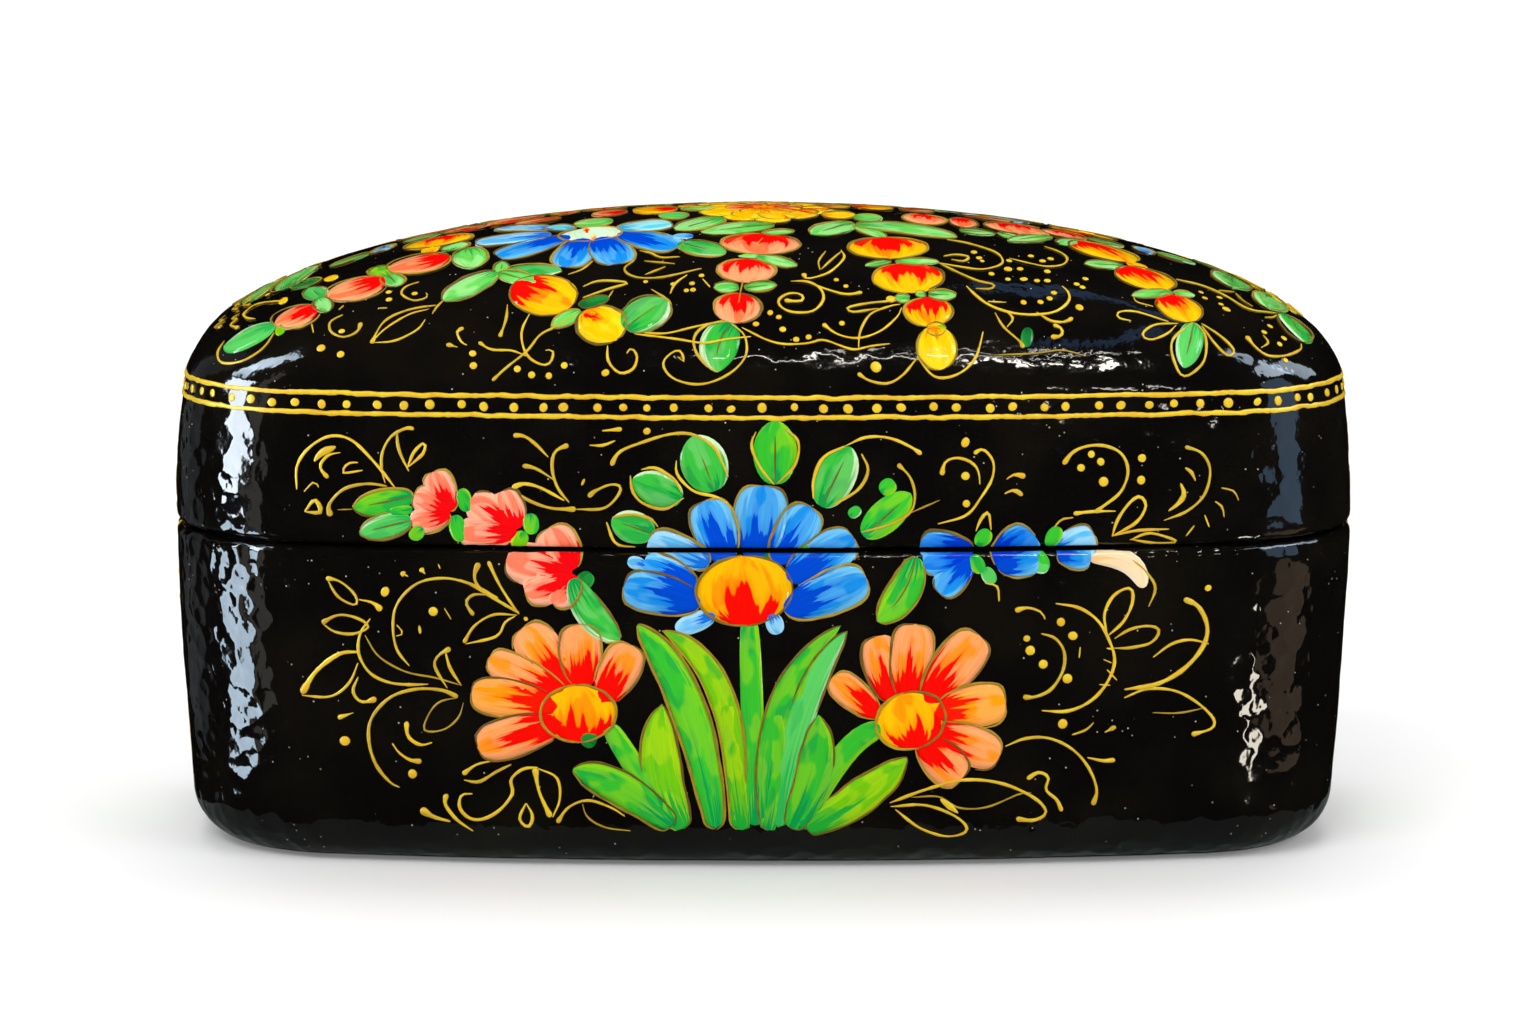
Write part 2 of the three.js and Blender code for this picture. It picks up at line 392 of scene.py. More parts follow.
# %% Hang bright panels where the dome mirrors them
LEFT_SHOULDER = (-0.0525, -0.0255, 0.0525)
RIGHT_SHOULDER = (0.053, -0.0250, 0.0525)
RIGHT_DOME = (0.038, -0.0255, 0.0570)
FRONT_SHOULDER = (0.028, -0.0303, 0.0538)
SKY_TINT = (0.70, 0.85, 1.0)
NIGHT_TINT = (0.25, 0.50, 1.0)
WARM_TINT = (1.0, 0.95, 0.86)
TOP_WINDOW_SPREAD = math.radians(60)
DOME_PANELS = (
    ("left_window_top", LEFT_SHOULDER, (-0.72, 0.02, 0.69), 0.06, (0.012, 0.044), 1.9, SKY_TINT),
    ("right_sky", RIGHT_SHOULDER, (0.74, 0.02, 0.67), 0.12, (0.050, 0.034), 9.0, SKY_TINT),
    ("right_sky_upper", RIGHT_SHOULDER, (0.50, 0.02, 0.865), 0.12, (0.034, 0.020), 7.0, SKY_TINT),
    ("right_sky_far", RIGHT_SHOULDER, (0.80, 0.32, 0.51), 0.12, (0.030, 0.050), 5.0, SKY_TINT),
    ("dim_sky", RIGHT_DOME, (0.21, 0.40, 0.89), 0.12, (0.060, 0.009), 0.7, NIGHT_TINT),
    ("dim_sky_near", RIGHT_DOME, (0.24, -0.10, 0.965), 0.12, (0.050, 0.006), 0.9, NIGHT_TINT),
    ("shoulder_lamp", FRONT_SHOULDER, (0.225, -0.56, 0.80), 0.55, (0.060, 0.026), 50.0, WARM_TINT),
    ("shoulder_strip", FRONT_SHOULDER, (0.07, -0.50, 0.86), 0.55, (0.20, 0.006), 60.0, WARM_TINT),
    ("high_strip", FRONT_SHOULDER, (0.16, -0.36, 0.92), 0.55, (0.14, 0.003), 50.0, WARM_TINT),
    ("spark_lamp", FRONT_SHOULDER, (0.36, -0.90, 0.24), 0.32, (0.024, 0.014), 16.0, WARM_TINT),
)


def add_panel_towards(name, spot, direction, far, size, glow, colour):
    """A panel seen in the lacquer at a spot of the box, that far away in a direction."""
    way = Vector(direction).normalized()
    return add_mirrored_panel(name, Vector(spot) + way * far, spot, size, glow, colour)


dome_panels = {panel_row[0]: add_panel_towards(*panel_row) for panel_row in DOME_PANELS}
dome_panels["left_window_top"].data.spread = TOP_WINDOW_SPREAD
print(len(DOME_PANELS), "panels for the dome")

# %% Light the room evenly
WORLD_LIGHT = 0.62
world = bpy.data.worlds.new("studio")
scene.world = world
world.use_nodes = True
world.cycles_visibility.glossy = False
room = world.node_tree.nodes["Background"].inputs
room["Color"].default_value = (1, 1, 1, 1)
room["Strength"].default_value = WORLD_LIGHT

# %% [markdown]
# ## The box's measures
# The shells follow the same few curves as the solids: a rounded oblong whose sides bow outwards,
# a wall that draws in towards the foot, and a dome that turns from the oblong into an ellipse.
# They are written again here, in millimetres, so that the finer shells and the paint fit exactly.

# %% The measures and the outline in plan
LENGTH = 127
DEPTH = 68
CORNER_RADIUS = 19
SIDE_BOW_RADIUS = 290
BASE_HEIGHT = 34.35
SEAM_GAP = 0.3
SKIRT_HEIGHT = 15.85
DOME_RISE = 16.7
BASE_TAPER = 1.5
BASE_TAPER_POWER = 1.5
FOOT_RADIUS = 6
SKIRT_LEAN = 1.15
SKIRT_LEAN_POWER = 2
DOME_POWER = 1.7
RIM_ROUNDING = 1
RIM_INNER_ROUNDING = 0.4
WALL = 3
FLOOR_THICKNESS = 3.2
CROWN_THICKNESS = 3.2
INNER_FOOT_RADIUS = 4
SKIRT_WALL = 2.85
LID_BOTTOM = BASE_HEIGHT + SEAM_GAP
DOME_START = LID_BOTTOM + SKIRT_HEIGHT
SHORT_STEPS = 22
CORNER_STEPS = 34
LONG_STEPS = 72
DOME_STEPS = 60


def arc(centre, radius, start, end, steps):
    angles = np.linspace(start, end, steps, endpoint=False)
    return centre + radius * np.column_stack((np.cos(angles), np.sin(angles)))


def plan(inset):
    """The outline seen from above, drawn in by inset, counterclockwise from the middle of the right end."""
    long_centre = np.array((0, DEPTH / 2 - SIDE_BOW_RADIUS))
    short_centre = np.array((LENGTH / 2 - SIDE_BOW_RADIUS, 0))
    span = short_centre - long_centre
    apart = np.hypot(*span)
    along = span / apart
    aside = math.sqrt((SIDE_BOW_RADIUS - CORNER_RADIUS) ** 2 - apart**2 / 4)
    corner = long_centre + along * apart / 2 + np.array((along[1], -along[0])) * aside
    start = math.atan2(*(corner - short_centre)[::-1])
    end = math.atan2(*(corner - long_centre)[::-1])
    quarter = np.vstack((
        arc(short_centre, SIDE_BOW_RADIUS - inset, 0, start, SHORT_STEPS),
        arc(corner, CORNER_RADIUS - inset, start, end, CORNER_STEPS),
        arc(long_centre, SIDE_BOW_RADIUS - inset, end, math.pi / 2, LONG_STEPS),
    ))
    half = np.vstack((quarter, [(0, DEPTH / 2 - inset)], (quarter[1:] * (-1, 1))[::-1]))
    return np.vstack((half, -half))


def base_inset(height):
    share = np.maximum((BASE_HEIGHT - height) / (BASE_HEIGHT - FOOT_RADIUS), 0)
    return BASE_TAPER * share**BASE_TAPER_POWER


def skirt_inset(height):
    return SKIRT_LEAN * np.maximum((height - LID_BOTTOM) / SKIRT_HEIGHT, 0) ** SKIRT_LEAN_POWER


outline = plan(0)
print("outline points", len(outline), "length", LENGTH, "depth", DEPTH)

# %% Loft a closed shell from level rings
ATTRIBUTE_FIELDS = {"FLOAT": "value", "FLOAT_VECTOR": "vector", "FLOAT_COLOR": "color"}


def note(mesh, label, values, kind="FLOAT"):
    """Writes a named number, vector or colour on every point of a mesh."""
    mesh.attributes.new(label, kind, "POINT").data.foreach_set(ATTRIBUTE_FIELDS[kind], values)


def ring(inset, height):
    flat = plan(inset)
    return np.column_stack((flat, np.full(len(flat), height)))


def wall_rings(inset, heights, thickness=0):
    """Rings up or down a wall, or down its inside where a thickness is given."""
    return [ring(thickness + inset(z), z) for z in heights]


def dome_ring(inset, height, share):
    flat = plan(inset)
    to_ellipse = 1 / np.hypot(flat[:, 0] / (LENGTH / 2 - inset), flat[:, 1] / (DEPTH / 2 - inset))
    scale = share * (to_ellipse + (1 - to_ellipse) * share)
    return np.column_stack((flat * scale[:, None], np.full(len(flat), height)))


def dome_rings(inset, rise, steps):
    shares = [math.cos(math.pi / 2 * k / steps) for k in range(steps)]
    return [dome_ring(inset, DOME_START + rise * (1 - s**2) ** (1 / DOME_POWER), s) for s in shares]


def loft(name, rings, first_height, last_height, inner_from, inner_to):
    """A closed surface through the rings. Its points know whether they are inside the box."""
    count = len(rings[0])
    points = np.vstack((*rings, [(0, 0, first_height)], [(0, 0, last_height)])) * MM
    faces = []
    for k in range(len(rings) - 1):
        for i in range(count):
            after = (i + 1) % count
            faces.append((k * count + i, k * count + after, (k + 1) * count + after, (k + 1) * count + i))
    first = len(rings) * count
    top = (len(rings) - 1) * count
    for i in range(count):
        after = (i + 1) % count
        faces.append((first, after, i))
        faces.append((first + 1, top + i, top + after))
    mesh = bpy.data.meshes.new(name)
    mesh.from_pydata(points.tolist(), [], faces)
    inner = np.zeros(len(points), np.float32)
    inner[inner_from * count:inner_to * count] = 1
    ends = (0 if inner_from else 1, 1 if inner_to == len(rings) else 0)
    inner[first:first + 2] = ends if inner_to else 0
    note(mesh, "inner", inner)
    mesh.shade_smooth()
    return mesh


def quarter_turn(steps):
    angles = [math.pi / 2 * k / steps for k in range(steps + 1)]
    return [(math.sin(a), 1 - math.cos(a)) for a in angles]


def foot_rings():
    return [ring(BASE_TAPER + FOOT_RADIUS * (1 - s), FOOT_RADIUS * c) for s, c in quarter_turn(12)]


def base_mesh():
    sole = [ring(BASE_TAPER + FOOT_RADIUS + inset, 0) for inset in (18, 12, 7, 3, 1)]
    wall = wall_rings(base_inset, np.linspace(FOOT_RADIUS, BASE_HEIGHT - RIM_ROUNDING, 42)[1:])
    rim = [ring(RIM_ROUNDING * c, BASE_HEIGHT - RIM_ROUNDING * (1 - s)) for s, c in quarter_turn(5)[1:]]
    lip = BASE_HEIGHT - RIM_INNER_ROUNDING
    mouth = [ring(WALL - RIM_INNER_ROUNDING, BASE_HEIGHT), ring(WALL + base_inset(lip), lip)]
    foot_top = FLOOR_THICKNESS + INNER_FOOT_RADIUS
    inside = wall_rings(base_inset, np.linspace(lip, foot_top, 16)[1:], WALL)
    corner = WALL + base_inset(foot_top)
    bend = quarter_turn(6)[1:]
    turn = [ring(corner + INNER_FOOT_RADIUS * c, foot_top - INNER_FOOT_RADIUS * s) for s, c in bend]
    floor = [ring(corner + INNER_FOOT_RADIUS + inset, FLOOR_THICKNESS) for inset in (4, 10, 16)]
    outside = [*sole, *foot_rings(), *wall, *rim]
    within = [*mouth, *inside, *turn, *floor]
    return loft("base_body", outside + within, 0, FLOOR_THICKNESS, len(outside), len(outside) + len(within))


def lid_mesh():
    inner_rise = DOME_RISE - CROWN_THICKNESS
    ceiling = dome_rings(SKIRT_LEAN + SKIRT_WALL, inner_rise, 22)[::-1]
    inner_lip = LID_BOTTOM + RIM_INNER_ROUNDING
    inside = wall_rings(skirt_inset, np.linspace(DOME_START, inner_lip, 12)[1:], SKIRT_WALL)
    mouth = [ring(SKIRT_WALL - RIM_INNER_ROUNDING, LID_BOTTOM)]
    rim = [ring(RIM_ROUNDING * (1 - s), LID_BOTTOM + RIM_ROUNDING * c) for s, c in quarter_turn(5)]
    skirt = wall_rings(skirt_inset, np.linspace(LID_BOTTOM + RIM_ROUNDING, DOME_START, 25)[1:-1])
    dome = dome_rings(SKIRT_LEAN, DOME_RISE, DOME_STEPS)
    within = [*ceiling, *inside, *mouth]
    top = DOME_START + DOME_RISE
    return loft("lid_body", [*within, *rim, *skirt, *dome], DOME_START + inner_rise, top, 0, len(within))


def whole_mesh():
    """The outside of the closed box in one, as it is while it is painted and before it is sawn."""
    wall = wall_rings(base_inset, np.linspace(FOOT_RADIUS, BASE_HEIGHT, 44)[1:])
    skirt = wall_rings(skirt_inset, np.linspace(LID_BOTTOM, DOME_START, 25)[:-1])
    rings = [*foot_rings(), *wall, *skirt, *dome_rings(SKIRT_LEAN, DOME_RISE, DOME_STEPS)]
    return loft("whole_form", rings, 0, DOME_START + DOME_RISE, 0, 0)


shell_meshes = {"base": base_mesh(), "lid": lid_mesh(), "whole": whole_mesh()}
print({name: len(mesh.polygons) for name, mesh in shell_meshes.items()}, "faces")

# %% Lay a grey frame round the foot, seen only by its gloss
FOOT_GLOW = 0.13
FOOT_GLOW_COLOUR = (0.86, 1.0, 0.93, 1)
FRAME_LIFT = 0.0006
FRAME_REACH = (6, -4.2)


def lay_foot_frame():
    """A faint band on the floor round the box, which shows as a soft line in the rounded foot."""
    inner, outer = (plan(inset) * MM for inset in FRAME_REACH)
    count = len(inner)
    corners = [(x, y, FRAME_LIFT) for x, y in (*inner.tolist(), *outer.tolist())]
    faces = [(k, (k + 1) % count, count + (k + 1) % count, count + k) for k in range(count)]
    material, board = new_material("grey_frame")
    finish_material(board, "ShaderNodeEmission", {"Color": FOOT_GLOW_COLOUR, "Strength": FOOT_GLOW})
    only_for_gloss(add_plate("foot_frame", corners, faces, material))


lay_foot_frame()
print("foot frame laid")

# %% [markdown]
# ## A hand-smoothed skin
# Layers of paper and rubbed-down ground never end up quite even. The outside keeps shallow dents
# about two millimetres across and wider swells, which make every reflection uneven. A bump in the
# material could fake all of it, but the paint has to lie on the real surface, so a small Geometry
# Nodes tree moves the outside points in and out along their normals. Only the finest crinkles are
# left to the material.

# %% Make a tree's result a plain mesh
def new_tree(name, inputs):
    """A Geometry Nodes tree with named inputs. Gives the tree, its board and a wire for each input."""
    tree = bpy.data.node_groups.new(name, "GeometryNodeTree")
    tree.interface.new_socket("Geometry", in_out="INPUT", socket_type="NodeSocketGeometry")
    for label, kind in inputs.items():
        tree.interface.new_socket(label, in_out="INPUT", socket_type=f"NodeSocket{kind}")
    tree.interface.new_socket("Geometry", in_out="OUTPUT", socket_type="NodeSocketGeometry")
    board = Board(tree)
    source = tree.nodes.new("NodeGroupInput")
    wires = {s.name: Wire(board, s) for s in source.outputs if s.name}
    return tree, board, wires


def close_tree(board, geometry, material):
    """Ends a tree in Realize Instances, Set Material and the output."""
    plain = board.node("GeometryNodeRealizeInstances", {}, {"Geometry": geometry})
    dressed = board.node("GeometryNodeSetMaterial", {}, {"Geometry": plain, "Material": material})
    board.node("NodeGroupOutput", {}, {0: dressed})


def grow(name, mesh, tree, values):
    """Runs a tree on a mesh and gives the result as a plain piece with no modifier."""
    piece = put(name, mesh)
    modifier = piece.modifiers.new(tree.name, "NODES")
    modifier.node_group = tree
    for item in tree.interface.items_tree:
        if item.in_out == "INPUT" and item.name in values:
            modifier[item.identifier] = values[item.name]
    evaluated = piece.evaluated_get(bpy.context.evaluated_depsgraph_get())
    made = bpy.data.meshes.new_from_object(evaluated)
    piece.modifiers.clear()
    piece.data = made
    made.name = name
    return piece


def read(board, name, kind="FLOAT"):
    """A named attribute inside a Geometry Nodes tree."""
    return board.node("GeometryNodeInputNamedAttribute", {"data_type": kind}, {"Name": name})


print("trees end in Realize Instances and Set Material")

# %% [markdown]
# ## Black lacquer
# The ground is black with a warm brown depth, and clear varnish over it is smooth but not flat.
# Dust caught in the varnish shows as tiny pale specks, and handling leaves fine rubs. One colour
# would look like plastic, so the colour, the gloss and the crinkles each follow their own noise.

# %% Mix the black lacquer
LACQUER_BLACK = linear(9, 8, 7)
LACQUER_BROWN = linear(19, 16, 11)
DUST_COLOUR = linear(170, 165, 150)
DUST_SCALE = 880.0
DUST_SIZE = 0.085
OUTSIDE_ROUGHNESS = 0.06
INSIDE_ROUGHNESS = 0.34
DIMPLE_ACROSS = 0.0019
DIMPLE_DEPTH = 0.00040
DOME_STRETCH = 0.42
DOME_SHARE = 0.5
CROWN_SMOOTHER = 0.3
SKIRT_SMOOTHER = 0.35
DIMPLE_SHAKE = 0.0006


def dimples(board, place):
    """Shallow rounded dimples, as pressed pulp has."""
    away = board.node("ShaderNodeTexVoronoi", {"feature": "SMOOTH_F1"}, {
        "Vector": place, "Scale": 1 / DIMPLE_ACROSS, "Smoothness": 0.6,
    })
    return away * away


def varnish_ripple(board, place):
    """The beaten look of the walls under their varnish, softer on the lid and drawn out on its dome."""
    shaken = place + board.vector(1.0, 1.0, 1.0) * (board.noise(place, 700, 1) * DIMPLE_SHAKE)
    drawn_out = board.stretch(shaken, (DOME_STRETCH, 0.8, 1.0))
    worn = ((board.noise(place, 75, 1) - 0.32) * 3.0).clipped() * 0.75 + 0.25
    height = board.height(place)
    on_dome = ((height - DOME_START * MM) * 1500.0).clipped()
    wall_share = 1 - ((height - BASE_HEIGHT * MM) * 2000.0).clipped() * SKIRT_SMOOTHER
    share = on_dome * DOME_SHARE - ((height - DOME_START * MM) * 160.0).clipped() * CROWN_SMOOTHER
    pressed = dimples(board, shaken) * ((1 - on_dome) * wall_share) + dimples(board, drawn_out) * share
    relief = pressed * worn + board.noise(place, 1300, 1) * 0.05
    return board.bump(relief, 1.0, DIMPLE_DEPTH)


def lacquer_material():
    material, board = new_material("black_lacquer")
    place = object_place(board)
    inner = shade_read(board, "inner")
    cloud = ((board.noise(place, 90, 3) - 0.42) * 3).clipped()
    colour = board.mix(cloud, LACQUER_BLACK, LACQUER_BROWN)
    near = board.node("ShaderNodeTexVoronoi", {"feature": "F1"}, {"Vector": place, "Scale": DUST_SCALE})
    pick = board.noise(place, 300, 0)
    speck = ((DUST_SIZE - near) * 60).clipped() * ((pick - 0.50) * 12).clipped()
    colour = board.mix(speck, colour, DUST_COLOUR)
    rubs = board.noise(board.stretch(place, (40, 700, 260)), 1.0, 3)
    smudge = ((rubs - 0.5) * 0.35 + (board.noise(place, 60, 3) - 0.5) * 0.12).size()
    roughness = OUTSIDE_ROUGHNESS + smudge * 0.5 + inner * (INSIDE_ROUGHNESS - OUTSIDE_ROUGHNESS)
    finish_material(board, "ShaderNodeBsdfPrincipled", {
        "Base Color": colour,
        "Roughness": roughness,
        "Normal": varnish_ripple(board, place),
        "Specular IOR Level": 0.5,
    })
    return material


lacquer = lacquer_material()
print("lacquer nodes", len(lacquer.node_tree.nodes))

# %% Dent the shells
DENT_ACROSS = 0.0021
DENT_DEPTH = 0.00013
SWELL_ACROSS = 0.011
SWELL_DEPTH = 0.00036


def skin_tree():
    tree, board, wires = new_tree("hand_smoothed_skin", {
        "Dent across": "Float", "Dent depth": "Float", "Swell across": "Float", "Swell depth": "Float",
        "Material": "Material",
    })
    place = board.node("GeometryNodeInputPosition", {}, {})
    normal = board.node("GeometryNodeInputNormal", {}, {})
    dent_scale = board.maths("DIVIDE", 1.0, wires["Dent across"])
    swell_scale = board.maths("DIVIDE", 1.0, wires["Swell across"])
    dents = (board.noise(place, dent_scale, 1) - 0.5) * wires["Dent depth"]
    swell = (board.noise(place, swell_scale, 0) - 0.5) * wires["Swell depth"]
    outside = (1 - read(board, "inner")) * (board.height(place) * 1000.0).clipped()
    moved = board.node("GeometryNodeSetPosition", {}, {
        "Geometry": wires["Geometry"], "Offset": normal * ((dents + swell) * outside),
    })
    close_tree(board, moved, wires["Material"])
    return tree


skin = skin_tree()
skin_values = {
    "Dent across": DENT_ACROSS, "Dent depth": DENT_DEPTH,
    "Swell across": SWELL_ACROSS, "Swell depth": SWELL_DEPTH, "Material": lacquer,
}
shells = {body: grow(f"{body}_body", mesh, skin, skin_values) for body, mesh in shell_meshes.items()}
whole_form = shells.pop("whole")
for body in shells:
    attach(shells[body], body)
    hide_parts(f"{body}_shell")
    print(body, "shell", len(shells[body].data.polygons), "faces")

# %% [markdown]
# ## The card collar
# The strip that holds the lid is plain card, bent round and blackened with thin paint. Its shape
# in the frame is right already, so the solid stays and only gets a finish: matt, a little uneven,
# with the fibres of the paper running round it and a faint rub along the top edge.

# %% Blacken the card
CARD_BLACK = linear(20, 17, 15)
CARD_GREY = linear(52, 45, 38)
CARD_RUB_START = 0.0378


def collar_material():
    material, board = new_material("black_card")
    place = object_place(board)
    fibre = board.noise(board.stretch(place, (500, 500, 4200)), 1.0, 4, 0.65)
    cloud = board.noise(place, 140, 3)
    rubbed = ((board.height(place) - CARD_RUB_START) * 900).clipped() * cloud
    share = ((fibre - 0.35) * 0.9 + rubbed * 0.7).clipped()
    finish_material(board, "ShaderNodeBsdfPrincipled", {
        "Base Color": board.mix(share, CARD_BLACK, CARD_GREY),
        "Roughness": 0.52 + cloud * 0.25,
        "Normal": board.bump(fibre + board.noise(place, 3800, 2) * 0.5, 0.5, 0.00008),
    })
    return material


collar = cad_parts["rim_collar"]
collar.data.materials.clear()
collar.data.materials.append(collar_material())
print("collar", collar.name, "keeps its solid")

# %% [markdown]
# ## Places on the box
# The painter works with the brush flat on the surface, so every stroke is written in the measures
# of that surface, in millimetres. On the walls that is the way round from the middle of the front
# and the height. On the dome it is the place along the box and the run of a tape laid up from the
# gold border. Two functions turn these into points in space.

# %% Points on the walls and on the dome
FRONT_MIDDLE = int(np.argmin(np.hypot(outline[:, 0], outline[:, 1] + DEPTH / 2)))
round_outline = np.roll(outline, -FRONT_MIDDLE, axis=0)
steps_round = np.hypot(*(np.roll(round_outline, -1, axis=0) - round_outline).T)
way_round = np.concatenate(([0], np.cumsum(steps_round)))
GIRTH = way_round[-1]
rim_plan = plan(SKIRT_LEAN)
rim_plan = rim_plan[np.argsort(np.arctan2(rim_plan[:, 1], rim_plan[:, 0]))]
rim_angle = np.arctan2(rim_plan[:, 1], rim_plan[:, 0])
rim_reach = np.hypot(rim_plan[:, 0], rim_plan[:, 1])
rim_half = (LENGTH / 2 - SKIRT_LEAN, DEPTH / 2 - SKIRT_LEAN)
rim_ellipse = 1 / np.hypot(rim_plan[:, 0] / rim_half[0], rim_plan[:, 1] / rim_half[1])
front_rim = rim_plan[rim_plan[:, 1] < 0]
front_rim = front_rim[np.argsort(front_rim[:, 0])]


def on_wall(way, height):
    """The point on the wall that far round from the middle of the front, at that height."""
    way = way % GIRTH
    k = min(int(np.searchsorted(way_round, way, side="right")) - 1, len(round_outline) - 1)
    start, end = round_outline[k], round_outline[(k + 1) % len(round_outline)]
    share = (way - way_round[k]) / steps_round[k]
    direction = (end - start) / steps_round[k]
    inset = skirt_inset(height) if height > BASE_HEIGHT else base_inset(height)
    flat = start + (end - start) * share - np.array((direction[1], -direction[0])) * inset
    return Vector((flat[0], flat[1], height)) * MM


def dome_height(x, y):
    """The dome's height over points of the plan."""
    angle, reach = np.arctan2(y, x), np.hypot(x, y)
    edge = np.interp(angle, rim_angle, rim_reach, period=2 * math.pi)
    ellipse = np.interp(angle, rim_angle, rim_ellipse, period=2 * math.pi)
    bend = np.maximum(1 - ellipse, 1e-6)
    share = (np.sqrt(ellipse**2 + 4 * bend * reach / edge) - ellipse) / (2 * bend)
    return DOME_START + DOME_RISE * (1 - np.clip(share, 0, 1) ** 2) ** (1 / DOME_POWER)


SECTION_STEPS = 240
DOME_REACH = 61.5
sections = {}


def section(x):
    """The dome's cut across the box at x, from the front border to the back one: depth, height, run."""
    if x not in sections:
        edge = np.interp(x, front_rim[:, 0], front_rim[:, 1])
        y = edge * np.cos(np.linspace(0, math.pi, SECTION_STEPS))
        z = dome_height(np.full(SECTION_STEPS, x), y)
        run = np.concatenate(([0], np.cumsum(np.hypot(np.diff(y), np.diff(z)))))
        sections[x] = (y, z, run)
    return sections[x]


def on_dome(x, run):
    """The point on the dome at x, that far up a tape from the gold border at the front."""
    x = round(max(-DOME_REACH, min(DOME_REACH, x)), 1)
    y, z, runs = section(x)
    if run < 0:
        return Vector((x, y[0] + 0.05 * run, DOME_START + run)) * MM
    return Vector((x, np.interp(run, runs, y), np.interp(run, runs, z))) * MM


print("girth", round(GIRTH, 1), "run over the dome", round(section(0.0)[2][-1], 1))

# %% [markdown]
# ## One brush dab
# Each petal, leaf, bud and flower heart is one press of a loaded brush. All of them are the same
# closed little cushion of a few dozen faces, bent along a curve and given its own width. They
# could be modelled one by one, but here a Geometry Nodes tree places a cushion for every point of
# a plain point cloud, and the points carry the numbers: where it starts, where it ends, its shape.

# %% The cushion that every dab is bent from
DAB_LONG = 14
DAB_ACROSS = 5


def dab_cushion():
    """A closed unit cushion. Its points say how far along, how far across and how deep they are."""
    rows = [(0.0, 0.0, 0.0)]
    for k in range(1, DAB_LONG):
        rows += [(k / DAB_LONG, 2 * j / (DAB_ACROSS - 1) - 1, 0.0) for j in range(DAB_ACROSS)]
    rows.append((1.0, 0.0, 0.0))
    tip = len(rows) - 1
    sunk = len(rows)
    for k in range(1, DAB_LONG):
        rows += [(k / DAB_LONG, -1.0, 1.0), (k / DAB_LONG, 1.0, 1.0)]
    rows += [(0.0, 0.0, 1.0), (1.0, 0.0, 1.0)]
    low_start, low_tip = len(rows) - 2, len(rows) - 1
    faces = []
    for k in range(DAB_LONG - 2):
        here, there = 1 + k * DAB_ACROSS, 1 + (k + 1) * DAB_ACROSS
        for j in range(DAB_ACROSS - 1):
            faces.append((here + j, there + j, there + j + 1, here + j + 1))
        low, after = sunk + 2 * k, sunk + 2 * k + 2
        faces.append((low, low + 1, after + 1, after))
        faces.append((low, after, there, here))
        faces.append((here + DAB_ACROSS - 1, there + DAB_ACROSS - 1, after + 1, low + 1))
    last = 1 + (DAB_LONG - 2) * DAB_ACROSS
    low_last = sunk + 2 * (DAB_LONG - 2)
    for j in range(DAB_ACROSS - 1):
        faces.append((0, 1 + j, 2 + j))
        faces.append((tip, last + j + 1, last + j))
    faces.append((low_start, sunk + 1, sunk))
    faces.append((low_tip, low_last, low_last + 1))
    faces.append((0, low_start, sunk, 1))
    faces.append((0, DAB_ACROSS, sunk + 1, low_start))
    faces.append((tip, last, low_last, low_tip))
    faces.append((tip, low_tip, low_last + 1, last + DAB_ACROSS - 1))
    mesh = bpy.data.meshes.new("dab_cushion")
    mesh.from_pydata(rows, [], faces)
    for k, label in enumerate(("along", "across", "sunk")):
        note(mesh, label, [row[k] for row in rows])
    return bpy.data.objects.new("dab_cushion", mesh)


cushion = dab_cushion()
print("one dab has", len(cushion.data.polygons), "faces")

# %% The tree that presses a dab onto the shell for every point
DAB_EDGE_SUNK = 0.00007
HAND_WOBBLE = 0.07


def nearest_place(board, shell, place):
    """The nearest point of the shell."""
    sockets = {"Geometry": shell, "Sample Position": place}
    return board.node("GeometryNodeProximity", {"target_element": "FACES"}, sockets)


def nearest_normal(board, shell, place):
    """The shell's outward direction at its nearest point."""
    normal = board.node("GeometryNodeInputNormal", {}, {})
    sockets = {"Mesh": shell, "Value": normal, "Sample Position": place}
    return board.node("GeometryNodeSampleNearestSurface", {"data_type": "FLOAT_VECTOR"}, sockets)


def shell_wire(board, wires):
    return board.node("GeometryNodeObjectInfo", {}, {"Object": wires["Shell"]}, "Geometry")


def close_smooth(board, geometry, place, material):
    """Moves the points to their places on the shell, smooths the shading and ends the tree."""
    laid = board.node("GeometryNodeSetPosition", {}, {"Geometry": geometry, "Position": place})
    smooth = board.node("GeometryNodeSetShadeSmooth", {}, {"Geometry": laid, "Shade Smooth": True})
    close_tree(board, smooth, material)


def brush_spine(board, share):
    """A dab's middle line, bent through its three points, and the direction it runs in."""
    start, middle, end = (read(board, name, "FLOAT_VECTOR") for name in ("start", "middle", "end"))
    pull = middle * 2.0 - (start + end) * 0.5
    back = 1 - share
    spine = start * (back * back) + pull * (2 * (share * back)) + end * (share * share)
    heading = (pull - start) * back + (end - pull) * share
    return spine, heading


